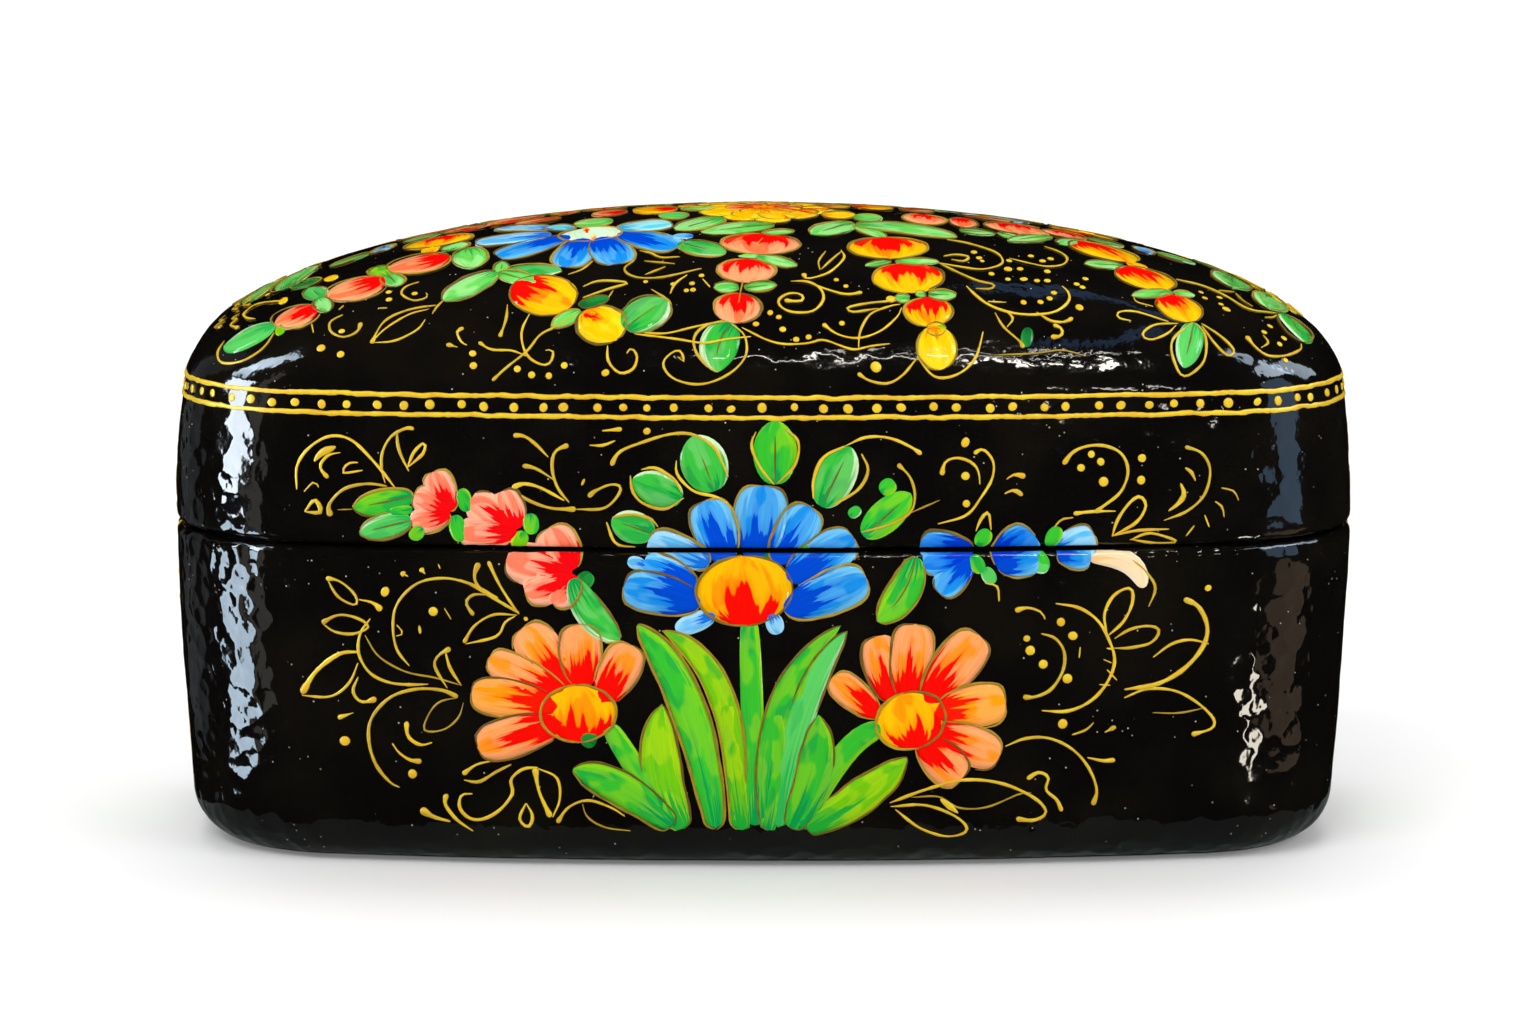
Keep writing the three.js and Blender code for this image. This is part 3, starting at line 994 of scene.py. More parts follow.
def dab_tree():
    tree, board, wires = new_tree("pressed_dabs", {
        "Shell": "Object", "Cushion": "Object", "Edge sunk": "Float", "Hand wobble": "Float",
        "Material": "Material",
    })
    unit = board.node("GeometryNodeObjectInfo", {}, {"Object": wires["Cushion"]}, "Geometry")
    placed = board.node("GeometryNodeInstanceOnPoints", {}, {"Points": wires["Geometry"], "Instance": unit})
    real = board.node("GeometryNodeRealizeInstances", {}, {"Geometry": placed})
    shell = shell_wire(board, wires)
    along, across, sunk = read(board, "along"), read(board, "across"), read(board, "sunk")
    share = (1 - board.maths("COSINE", along * math.pi)) * 0.5
    spine, heading = brush_spine(board, share)
    up = nearest_normal(board, shell, spine)
    sideways = board.vector_maths("NORMALIZE", board.vector_maths("CROSS_PRODUCT", up, heading))
    swing = board.maths("SINE", (along ** read(board, "skew")) * math.pi).size()
    ending = read(board, "root_end") * (1 - along) + read(board, "tip_end") * along
    shaky = board.noise(board.vector(along * 2.6, across, read(board, "seed") * 9.0), 1.0, 1)
    half = (swing ** ending) * (read(board, "width") * 0.5) * (1 + (shaky - 0.5) * 2.0 * wires["Hand wobble"])
    flat = spine - sideways * (across * half)
    foot, out = nearest_place(board, shell, flat), nearest_normal(board, shell, flat)
    crown = read(board, "lift") * (1 - across * across * 0.45)
    height = crown * (1 - sunk) - sunk * wires["Edge sunk"]
    kept = board.node("GeometryNodeStoreNamedAttribute", {"data_type": "FLOAT", "domain": "POINT"}, {
        "Geometry": real, "Name": "along_run", "Value": share,
    })
    close_smooth(board, kept, foot + out * height, wires["Material"])
    return tree


pressed_dabs = dab_tree()
print("dab tree nodes", len(pressed_dabs.nodes))

# %% [markdown]
# ## Flower paint
# The colours are opaque water paint, put on in two or three goes: a flat body colour, a paler
# touch along the rim, and quick flames of a deep colour that start at the base. All three colours
# travel with each dab as attributes, so one material paints every flower, and noise drawn out
# along the stroke gives the flames their ragged ends, the brush its streaks and the leaves their
# patches.

# %% Mix the flower paint
PAINT_ROUGHNESS = 0.30


def paint_material():
    material, board = new_material("flower_paint")
    place = object_place(board)
    along, across = shade_read(board, "along_run"), shade_read(board, "across")
    seed, reach = shade_read(board, "seed"), shade_read(board, "flame_reach")
    one_sided, rim_share = shade_read(board, "one_sided"), shade_read(board, "rim_share")
    run, breadth = along * shade_read(board, "long"), across * shade_read(board, "broad")
    body, rim_tint = shade_read(board, "body_colour", "Color"), shade_read(board, "rim_colour", "Color")
    flame_tint = shade_read(board, "flame_colour", "Color")
    wide = across.size()
    streaks = board.noise(board.vector(across * 3.4 + seed * 17.0, along * 0.5, seed * 5.0), 1.0, 2, 0.6)
    fine = board.noise(board.vector(across * 8.0, along * 1.6 + seed * 3.0, seed * 11.0), 1.0, 2)
    patch = board.noise(board.vector(breadth * 0.55 + seed * 7.0, run * 0.26, seed * 31.0), 1.0, 1)
    other = board.noise(board.vector(breadth * 0.6 + seed * 41.0, run * 0.22, seed * 13.0), 1.0, 1)
    leafy = (one_sided * 1.6).clipped()
    ragged = reach - along + (streaks - 0.5) * 1.4 - wide * wide * 0.30
    wet = ((ragged + 0.14) * 4.0 + 0.3).clipped() * 0.42
    flame = (ragged * 26.0 + 0.5).clipped()
    lit = across * one_sided + wide * (1 - one_sided)
    rim = ((lit * 0.9 + along * along * 0.3 + (fine - 0.5) * 0.8 + rim_share - 1.02) * 5.0).clipped()
    patches = ((patch - 0.48) * 14.0).clipped() * ((rim_share - 0.28) * 8.0).clipped() * 0.7
    cool = ((other - 0.52) * 14.0).clipped() * leafy * 0.55
    colour = body
    layers = (
        (cool, flame_tint), (patches, rim_tint), (rim, rim_tint), (wet, flame_tint), (flame, flame_tint),
    )
    for cover, tint in layers:
        colour = board.mix(cover, colour, tint)
    drag = board.noise(board.vector(across * 13.0, along * 1.2, seed * 23.0), 1.0, 2)
    tone = 0.82 + drag * 0.34
    colour = colour * board.vector(tone, tone, tone)
    ridges = drag * 0.8 + board.noise(place, 1500, 2) * 0.6
    finish_material(board, "ShaderNodeBsdfPrincipled", {
        "Base Color": colour,
        "Roughness": PAINT_ROUGHNESS + (fine - 0.5) * 0.2,
        "Normal": board.bump(ridges, 0.35, 0.00007),
        "Specular IOR Level": 0.0,
        "Coat Weight": 0.7,
        "Coat Roughness": 0.08,
    })
    return material


flower_paint = paint_material()
print("flower paint nodes", len(flower_paint.node_tree.nodes))

# %% [markdown]
# ## Gold paint
# The scrolls and outlines are bronze powder in a little varnish. Where the brush was full it is
# bright yellow gold, and where it ran out it is thin and brown. A full metal would turn black
# between the dark cards, as the real powder doesn't, so it is mostly a colour.

# %% Mix the gold paint
GOLD_BRIGHT = linear(251, 220, 46)
GOLD_DEEP = linear(230, 181, 18)
GOLD_THIN = linear(110, 84, 8)


def gold_material():
    material, board = new_material("gold_paint")
    place = object_place(board)
    patchy = ((board.noise(place, 420, 3, 0.6) - 0.35) * 2.6).clipped()
    colour = board.mix(patchy, GOLD_DEEP, GOLD_BRIGHT)
    thin = (shade_read(board, "thinness") + (board.noise(place, 700, 2) - 0.5) * 0.5).clipped()
    colour = board.mix(thin, colour, GOLD_THIN)
    finish_material(board, "ShaderNodeBsdfPrincipled", {
        "Base Color": colour,
        "Metallic": 0.06 + patchy * 0.1,
        "Roughness": 0.36 + thin * 0.2,
        "Normal": board.bump(board.noise(place, 5200, 3, 0.7), 0.5, 0.00005),
    })
    return material


gold_paint = gold_material()
print("gold paint nodes", len(gold_paint.node_tree.nodes))

# %% [markdown]
# ## The colours on the palette
# A flower painter mixes a handful of sets and keeps to them: a flame colour, a body colour and a
# rim colour. The last three numbers say how far the flame runs up the dab, how much the pale
# touch keeps to one side, as it does on leaves, and how much of the dab it takes. A shape says
# where along the dab it is widest, and how pointed its base and its tip are.

# %% Lay out the palette and the shapes of dab
PALETTE = {
    "blue": ((0, 70, 200), (24, 138, 222), (110, 192, 236), 0.55, 0.0, 0.34),
    "deepblue": ((0, 56, 194), (14, 114, 216), (88, 176, 234), 0.58, 0.0, 0.32),
    "sky": ((20, 108, 214), (88, 176, 230), (160, 214, 240), 0.30, 0.0, 0.45),
    "cyan": ((40, 160, 200), (90, 200, 215), (170, 228, 235), 0.30, 0.0, 0.45),
    "orange": ((246, 8, 2), (250, 146, 32), (251, 164, 104), 0.53, 0.0, 0.44),
    "amber": ((246, 22, 2), (250, 154, 14), (251, 168, 80), 0.50, 0.0, 0.42),
    "pink": ((236, 6, 14), (248, 124, 92), (250, 176, 142), 0.50, 0.0, 0.42),
    "rose": ((240, 6, 5), (248, 118, 70), (249, 168, 116), 0.48, 0.0, 0.42),
    "sun": ((245, 8, 1), (251, 148, 3), (253, 188, 3), 0.40, 0.0, 0.46),
    "fire": ((244, 8, 2), (250, 138, 6), (252, 194, 8), 0.50, 0.0, 0.55),
    "yellow": ((248, 130, 2), (251, 190, 4), (252, 214, 30), 0.22, 0.0, 0.40),
    "ember": ((244, 16, 3), (250, 118, 10), (252, 190, 8), 0.64, 0.0, 0.36),
    "leaf": ((10, 152, 70), (54, 184, 46), (134, 206, 26), 0.16, 0.6, 0.37),
    "lime": ((34, 166, 52), (112, 192, 18), (170, 212, 20), 0.24, 0.6, 0.38),
    "dark": ((12, 98, 40), (30, 134, 50), (60, 170, 70), 0.30, 0.7, 0.26),
    "mint": ((46, 172, 76), (88, 198, 92), (188, 234, 184), 0.20, 0.6, 0.28),
    "white": ((14, 150, 66), (58, 184, 62), (208, 238, 186), 0.18, 0.9, 0.30),
    "spring": ((52, 166, 62), (106, 206, 88), (170, 234, 150), 0.22, 0.6, 0.37),
    "pale": ((250, 150, 30), (196, 232, 190), (226, 242, 214), 0.10, 0.0, 0.35),
    "cream": ((236, 190, 130), (244, 214, 168), (250, 232, 206), 0.20, 0.0, 0.30),
}
SHAPES = {
    "petal": (1.32, 0.56, 0.58),
    "lobe": (1.28, 0.56, 0.56),
    "leaf": (1.0, 0.8, 1.3),
    "frond": (1.0, 0.8, 1.3),
    "blade": (1.0, 0.42, 1.6),
    "stem": (1.0, 0.12, 0.3),
    "disc": (1.0, 1.0, 1.0),
    "dab": (1.0, 0.8, 0.8),
}


def rows_of(table):
    """The lines of a table, each split into its words."""
    return [line.split() for line in table.split("\n")[1:-1]]


print(len(PALETTE), "sets of colour,", len(SHAPES), "shapes of dab")

# %% [markdown]
# ## The painting on the walls
# Each line is one dab: its shape, its colour set, its width, then where it starts and ends, with
# a middle point if it bends. The front carries a bunch: a large blue flower between two orange
# ones, with sprays of buds to both sides, all of it in the usual manner of folk flower painting.

# %% The dabs of the front
WALL_DABS = """
stem leaf 2.4 -1 5 -1.3 16 -1.7 27.4
blade leaf 3.6 -5.2 4.6 -8.2 18 -13.4 26.6
blade lime 2.8 -3 4.6 -4.6 19 -10.8 26
blade leaf 3.0 0.3 4.5 1.6 17.5 7.9 26.6
blade mint 2.9 1.4 4.8 4.1 17.7 8.6 26
stem lime 1.9 -2.3 4.5 -3.2 11 -4 18
stem leaf 1.8 0.3 4.5 1.1 10 1.4 17
stem leaf 2.3 -9.4 4.9 -13.2 10.5 -16.4 15.6
blade lime 4.2 -8.6 4.6 -10.9 11 -10.8 18.1
blade leaf 3.6 -9.8 4.9 -15.4 9 -20.3 10.9
stem leaf 2.5 3.7 4.7 8.2 12.5 12.2 15.4
blade lime 3.7 4.5 4.6 10.3 8.2 15 12.3
blade leaf 3.9 2.8 4.7 5.2 11 5.6 17
dab dark 1.8 -17.8 13.8 -19.3 14.5
frond white 3.6 -8.7 40 -13.9 42
frond white 4.9 -5.3 40.8 -7.5 46.6
frond leaf 4.6 1 41.5 1 48.2
frond white 4.2 5.8 39.2 8.9 45.4
frond leaf 3.5 10.2 36.1 15.2 40.5
dab leaf 1.8 12 40.7 13.5 41.7
dab white 1.2 8.7 38.2 9.9 39
frond white 3.4 -11.6 36.3 -16.1 37.7
leaf leaf 3.6 15.7 33.8 14.4 30 11.7 27
leaf white 3.3 -20.1 31.5 -18.2 27.6 -15.2 25
dab dark 1.8 -19.5 30.6 -18.2 32
dab leaf 2 -4.6 33.4 -5 35
dab leaf 1.6 3.5 33.4 4.4 35
dab dark 1.4 -0.6 33.6 0.6 34.8
petal blue 5.5 -0.9 33.3 -0.2 41.4
petal blue 4.7 -4 33.3 -6.3 39.8
petal sky 3.6 -5.8 33.2 -12.2 35.6
petal blue 3.6 -7.2 30.8 -12.8 33.2
dab sky 1.4 -12.6 33 -14.4 33.4
petal blue 4.2 -6.8 28.9 -14.8 30.7
dab sky 2.2 -5.3 27.7 -9.4 26.1
petal blue 4.3 1 33.3 4.8 39.1
petal blue 4.3 2.3 31.6 9.2 35.9
petal blue 4.7 2 28.2 10.6 31.6
dab sky 1.9 0.6 27.8 1.4 25.7
disc sun 10.2 -1.9 26.6 -2.5 34
petal orange 4.8 -20.3 19.2 -25.4 26.2
petal orange 4.6 -19.2 19.8 -19.5 26.6
petal orange 4.3 -17.2 18.2 -13.9 24.4
petal orange 3.8 -20.9 18.9 -29.1 22.8
petal amber 4.4 -21.8 17.8 -31 19
petal orange 4.5 -21.4 16 -30.4 13.2
disc sun 8.2 -19.4 13.9 -19.9 20.1
petal orange 3.5 12 16.8 7.1 21.1
petal orange 4 13.3 18.4 11.6 25.4
petal orange 4.5 15 18.6 15.7 26.7
petal orange 5.1 16.9 18.3 22.5 25.4
petal amber 4.7 18 17.2 25.4 18.2
petal orange 4.3 17.5 15.2 24.8 12.3
petal orange 4.4 16.4 14.2 20.8 9.8
disc sun 7.6 16.2 13.3 14.5 19.3
lobe pink 3.2 -33 38.3 -34.8 42.5
lobe pink 3.1 -33 38.4 -36.8 40
lobe pink 2.8 -33 38.2 -37.1 37
lobe pink 3.5 -26 36.6 -27.5 40.6
lobe pink 3.8 -26 36.7 -30.9 39.6
lobe pink 3.6 -26 36.3 -32 36.1
lobe pink 4.6 -20.2 32.3 -22.6 36.8
lobe pink 4.6 -20.2 32 -27.1 33.4
lobe pink 4.2 -20 31.6 -25.2 30
lobe pink 3.2 -19.6 31.6 -22.3 28.8
dab leaf 1.6 -31.2 38.4 -31.8 40.8
dab leaf 1.8 -32.5 38 -31.9 35.2
dab leaf 1.7 -24.6 38.3 -24.4 36.1
dab lime 1.7 -25.2 36.4 -26.2 34.4
dab leaf 1.5 -35.9 36.6 -37.2 35.4
leaf leaf 2.7 -36.9 39.9 -43.3 38.5
leaf mint 2.6 -37.1 37.4 -42.6 35.9
dab leaf 1.2 -37 38.5 -39.4 38.3
lobe deepblue 3.3 21.8 34.3 16.2 35.3
lobe deepblue 3 21.8 33.8 16.5 33
lobe blue 3.3 21.5 33.6 18.2 30
lobe deepblue 4.8 24 33 28.2 36
lobe blue 3.8 24.2 33 28.6 33.6
lobe sky 3.8 30.6 34.2 34.6 35.8
lobe blue 2.6 30.6 34 34.2 33.4
dab leaf 1.7 22.2 34.9 23.4 36.6
dab leaf 1.6 21.6 33.9 22.7 32.1
dab mint 1.5 22.9 32.6 23.9 30.9
dab leaf 1.7 29.7 34.7 30.8 36.8
dab leaf 1.7 28.4 34.3 29.4 32.1
dab mint 1.6 27.9 33 29.7 32.4
dab cream 2.3 34 33.4 38 33 39.8 30.2
"""
print(len(rows_of(WALL_DABS)), "dabs on the front")

# %% The gold scrolls of the front
# A stroke is a line of points. A leading number is its width, thin is a slighter one, o is a
# round touch of that radius, and a b after a point leaves a blob of paint there. In millimetres.
WALL_SCROLLS = """
o0.38 46.8,30
1 -47.5,43.3 -46.8,44.2 -45.2,44.9
-26.4,46.4b -25.3,46.4 -24,45.5 -22.7,44.2
-20.6,45.5b -22,44.8 -22.3,43 -21.7,41 -20.5,39.5
-25.4,43.3b -24,43 -22,41.8
-26.5,41b -25.2,41.4 -23.5,41 -21,39.7
-26.5,41 -25,39.8 -22.5,38.9 -19.8,38.8b
-19.8,38.8 -17,38.9 -15.6,40 -15.1,41.2 -16.3,41.4 -18,40.6 -18.5,40.1b
0.6 -18.9,42 -19.2,41.3
-17.1,47 -15,47.2b
o0.4 -12.4,47
-18.4,45.5 -17,45.5 -15.7,46
-16.1,43.4b -15.3,44.8 -13,45.8 -10,46.7 -7.6,46.7 -5.5,45.5 -4.6,44 -3.9,42.3
-9.3,44 -9.2,42.5 -7.5,40.8 -5.5,40.3 -4,39.6 -3.2,38.3
-14.1,42.4 -13.9,40.8 -12.8,39.5 -10.5,38.9 -8.5,40.1
-13,43 -11.5,43.2 -9.5,42 -8.7,40.6
-16.6,37.5 -15.6,35.2 -13.6,34.8
-16,38 -14,38.3 -12,37.9 -11.2,37
-1,47 -1.5,45.5 -0.5,43.2 0.9,41.5
2,47.3 3.4,46 3.1,43.6 1.2,41.6
5,40 5,42 6,44.3 8.3,45.5
10,44.7 10.7,43 9.7,41 7,39.3
8.3,45.5 10.5,46.4 13,46.3 15.3,45.3 16.3,44.6b
13.8,43.6b 15.1,42.2 15.6,40.3 15.1,38.5 13,37.3 10,36.5
thin 14.9,38.4 18.2,39.8
18.4,42.4b 18.8,43.8 20.2,44.2 21.7,43.6 22.3,42.6 22.4,41.4
o0.5 20.9,45.8
o0.5 20.9,42.3
21.8,44.6b 22.7,45.1 23.8,43.8 23.7,42 22.5,40 21,38.2 18,37.3
o0.4 21,39.4
25.2,41.9 26,42.4 27.2,42.2b
25,40.4 26,40.8 26.9,40.2b
22,36.5 22.5,37.7 23.3,38.5 23.6,36.6
23,31 24.3,30.6 24.5,29
31.2,43.4b 32.3,44.7 34,45.3 35.9,45.2 37.5,44.3 38.1,42.5 37.3,40.4 35.4,38.9 34.6,38.3b
o0.35 34.2,44.4
o0.45 35.2,43.6
o0.4 33.1,43
o0.5 35.5,41.5
o0.45 39.6,43.9
o0.45 39.5,41.6
32.3,38.2b 34.4,38.4 36.8,38.4
36.4,35.7 37,37.5 38.3,39.3 39.4,39.9 40,38.9 39,37.2 36.5,35.8
36.4,35.8 39,36.3 42.5,36.4
38.3,35.3 40.5,36 43.4,35 41,34.9 38.3,35.4
44.2,45b 46,44.3 46.9,42.5 46.3,40 44.5,38.3 41.9,37.3
0.6 44.2,42.8 44.9,42.3 45.3,41.4
0.6 43.7,41.2 44.1,40 43.4,39 42.4,38.3
48.1,40.6 49.5,40.2 50,39.2
47.4,39.2 48.2,38.6 48.4,37.5
46.3,37.8 46.8,36.5
45.2,36.7 44.3,35.6
30.3,36.8 31,37.6 32.3,37.8
-49.4,40.3 -49.4,42.8 -48,44.8 -45.8,46 -43.5,45.6 -41,43.3 -38.8,40.7
-46,41.6b -46.9,42.8 -46,44 -44.7,44.3
-42.8,43.3 -43.9,43.2 -44.4,42.2 -42.3,42.5
-48.6,40.1 -47.5,41.2 -47,40.6
0.5 -48.5,38 -47.4,39.3 -46.8,38 -48.5,38
-45.7,37.6b -45.9,38.8 -44.3,40.5 -41.8,41.1 -39.7,40.9
thin -43.4,38.4 -45,38.3
-39.9,41.2 -40.3,42.8 -40.2,44.5 -39.3,46.1 -37.7,47 -36.9,46.9b
-38.7,46.8 -38.5,44.8 -37.4,42.5
-37.6,42.7 -36.9,44.5 -35.8,45.5b -35.8,44.5 -37.4,43
-46.3,31b -44.8,30.7 -43.2,29.3 -43.1,28.2 -45,29 -46.2,31
-42.8,28.8 -41.3,28.5 -40.4,27.7b
o0.5 -40,29.7
-46.8,26.2b -45,27.1 -43,26.8 -41.8,25.9 -43.5,25.1 -45.5,25.3 -46.8,26.2
-41.6,26.8 -42.7,25.2 -42.9,23 -41.8,21 -39.8,20 -37.5,19.8 -35.5,19.9
thin -42.2,25 -40.8,22.8 -38,21.2 -34.8,20.6 -32.2,19.9
0.5 -49.2,18.5b -47.5,21 -45,22.9 -42.8,23.2
-43,22 -44,19.8 -46,18.3 -49.2,18.3
-43,20.5 -43.6,18.9 -42.7,17.8 -41.1,18.2b
-45.3,16b -43.6,16.6
o0.6 -44.6,13.5
-28,29.3 -30.5,30.6 -33.5,31.3 -36.5,30.7 -38.7,28.5 -39.2,26 -38.8,23.5 -37.5,21.8
-38.8,26.2 -38.1,25.3 -38.9,25
-38.3,31.8b -37.5,31.4
-36.2,32.3b -35.7,31.7
-34.3,32.8 -34.1,32.3
o0.5 -34.9,27.7
-33.7,28.1 -33,26.9
0.6 -36.4,26.2 -36.3,25.3
-33.1,23.8b -34.4,23 -34.8,21.8 -33.5,19.5
-33.7,23.7 -33.2,21.7 -32,19.8
-32.4,18.6b -34.2,19.3 -37,19.3 -39.7,18.3 -41.7,16 -42,13.5 -41.3,11 -39.9,9.2 -38.8,8.6
thin -32.4,18.5 -34.4,18 -35.6,16.5 -36,14.9 -34,15 -32.4,16.3 -31.8,18
-37.9,15.8b -37.8,14.2 -36.5,13.3 -35.2,13.6
-39.5,13.4 -38.8,12.4 -37.6,11.6 -36.4,11.5b
o0.45 -37.4,10.1
0.5 -36.6,6.3b -35.3,5.5 -33.4,5
-33.7,8b -34,7 -32.8,5.3 -31,4
-31,8.1 -32.2,7.9 -32.4,6.5 -31.3,5.4 -29.8,5.4 -28,6.5 -26.7,8.3 -26.9,9.7 -25.6,10.9 -24,11.1
-32,10.2b -30.5,11.3 -28.5,11.8
-31.9,9.6 -30.3,9.4 -28.5,10.5 -26.8,11.4
-24.3,11b -23.9,8.5 -22.7,5.7b
-24,11 -22,10 -21.7,7.7 -22.5,5.7
-25.3,7.2 -24.6,5.8 -25.1,4.6 -26,5.5 -25.3,7.2
-22,5.1b -20.8,6.8 -18.7,7.6 -16.2,6.8 -14.8,5.9
thin -19.3,7.2 -18.8,5.8 -17,4.7 -14.2,4.3
-30,33b -30.5,31.5 -29.8,30.2 -27.5,28.7 -25.8,27.7
-29,33.2b -28,31 -26.8,29 -25.8,27.6
-32,31.2 -30,30.2 -27.8,28.9 -25.8,27.8
-30.6,27.4b -31.4,28.7 -30.6,29.6 -29,29.6
-31.7,24.4b -30.5,26.3 -28.5,27.5 -26,27.5
-31.5,24.3 -28.2,25.2b -27.3,26.7 -26.2,27.4
o0.25 -25.1,27.1
26.2,28b 27.5,28.3 29,27.8 29.4,27
o0.35 27.5,25
o0.5 27.9,23.7
o0.5 29.3,22.2
o0.45 31.1,26.7
o0.5 32.4,25.2
o0.5 31.9,20.6
o0.5 31.5,15.7
33.2,24 33.1,22.8
29,25.5 30.5,25 31.5,23.5 31.4,21.5 30.2,19.5 28.5,18.7 27.2,18.7b
30.5,28.7 33,28.2 35,26.8 36.2,24.8 36.9,22.5 36.2,20.2 34.5,18.2 32,17.1 29.2,17.2
36,25.4 35.7,27.5 36.7,29.5 38.4,30.2b 38.7,28.8 37.8,26.7 36.2,25.2
36.8,24.8 38.5,25.8 40.5,26.1 41.6,25.6b 40.8,24.3 38.5,23.8 36.7,23.8
35.7,22.6 36.6,22.2
36.1,21.5 37.2,20.3
35.3,19.9 36.5,19.8
36,23.8 36.8,23.7
38.5,33.3 40,32 41.1,30.2 40.4,28.1
0.5 44.2,28.9b 45.8,28 46.8,25.8 46.3,23.6 44.3,21.3 41.5,19.8 38,19.3
47,24 45,24.5 43,24.1 41,22.7
38,18.4 40.5,19.3 43.5,19 46,17.6 47.8,15.8 47.6,14.8 45.4,14.2b
thin 41.1,16.7 44,16.6 46.9,17.1
32.5,14.5 34,15 34.8,15.8
36,14.7 37.2,15.3b
25.4,13.4 27.5,14.2 30,14.2 32.5,13 34.3,11 35.3,8.5 34.9,6.8b
34.2,12 36,11.6 37.2,11.7b
13.2,7.4 17,8.8 21,9.8 25,9.4 28.5,7.8 29.9,6.2 28.7,5.3 26.7,5.5b
thin 15.5,8 18.5,8 20.5,6.8 23.5,6.8 27,8.2 28.3,8.3
0.9 18.6,7.8 20.5,6.2
13.3,7 17,7.1 20.3,5.8 21.5,4.3b 19.5,3.6 16.5,4.6 13.8,6.7
27.8,9.8b 29,10.5 30.1,9.9 29.8,8.6 31,7.5 31.6,6.2b
"""
print(len(rows_of(WALL_SCROLLS)), "gold strokes on the front")

# %% [markdown]
# ## The painting on the dome
# The lid is painted from its crown downwards: a ring flower on top, then strings of buds that hang
# towards the border, with a blue flower in the left one. The back half is the front half turned
# round, as the painter turns the box on the table to go on working.

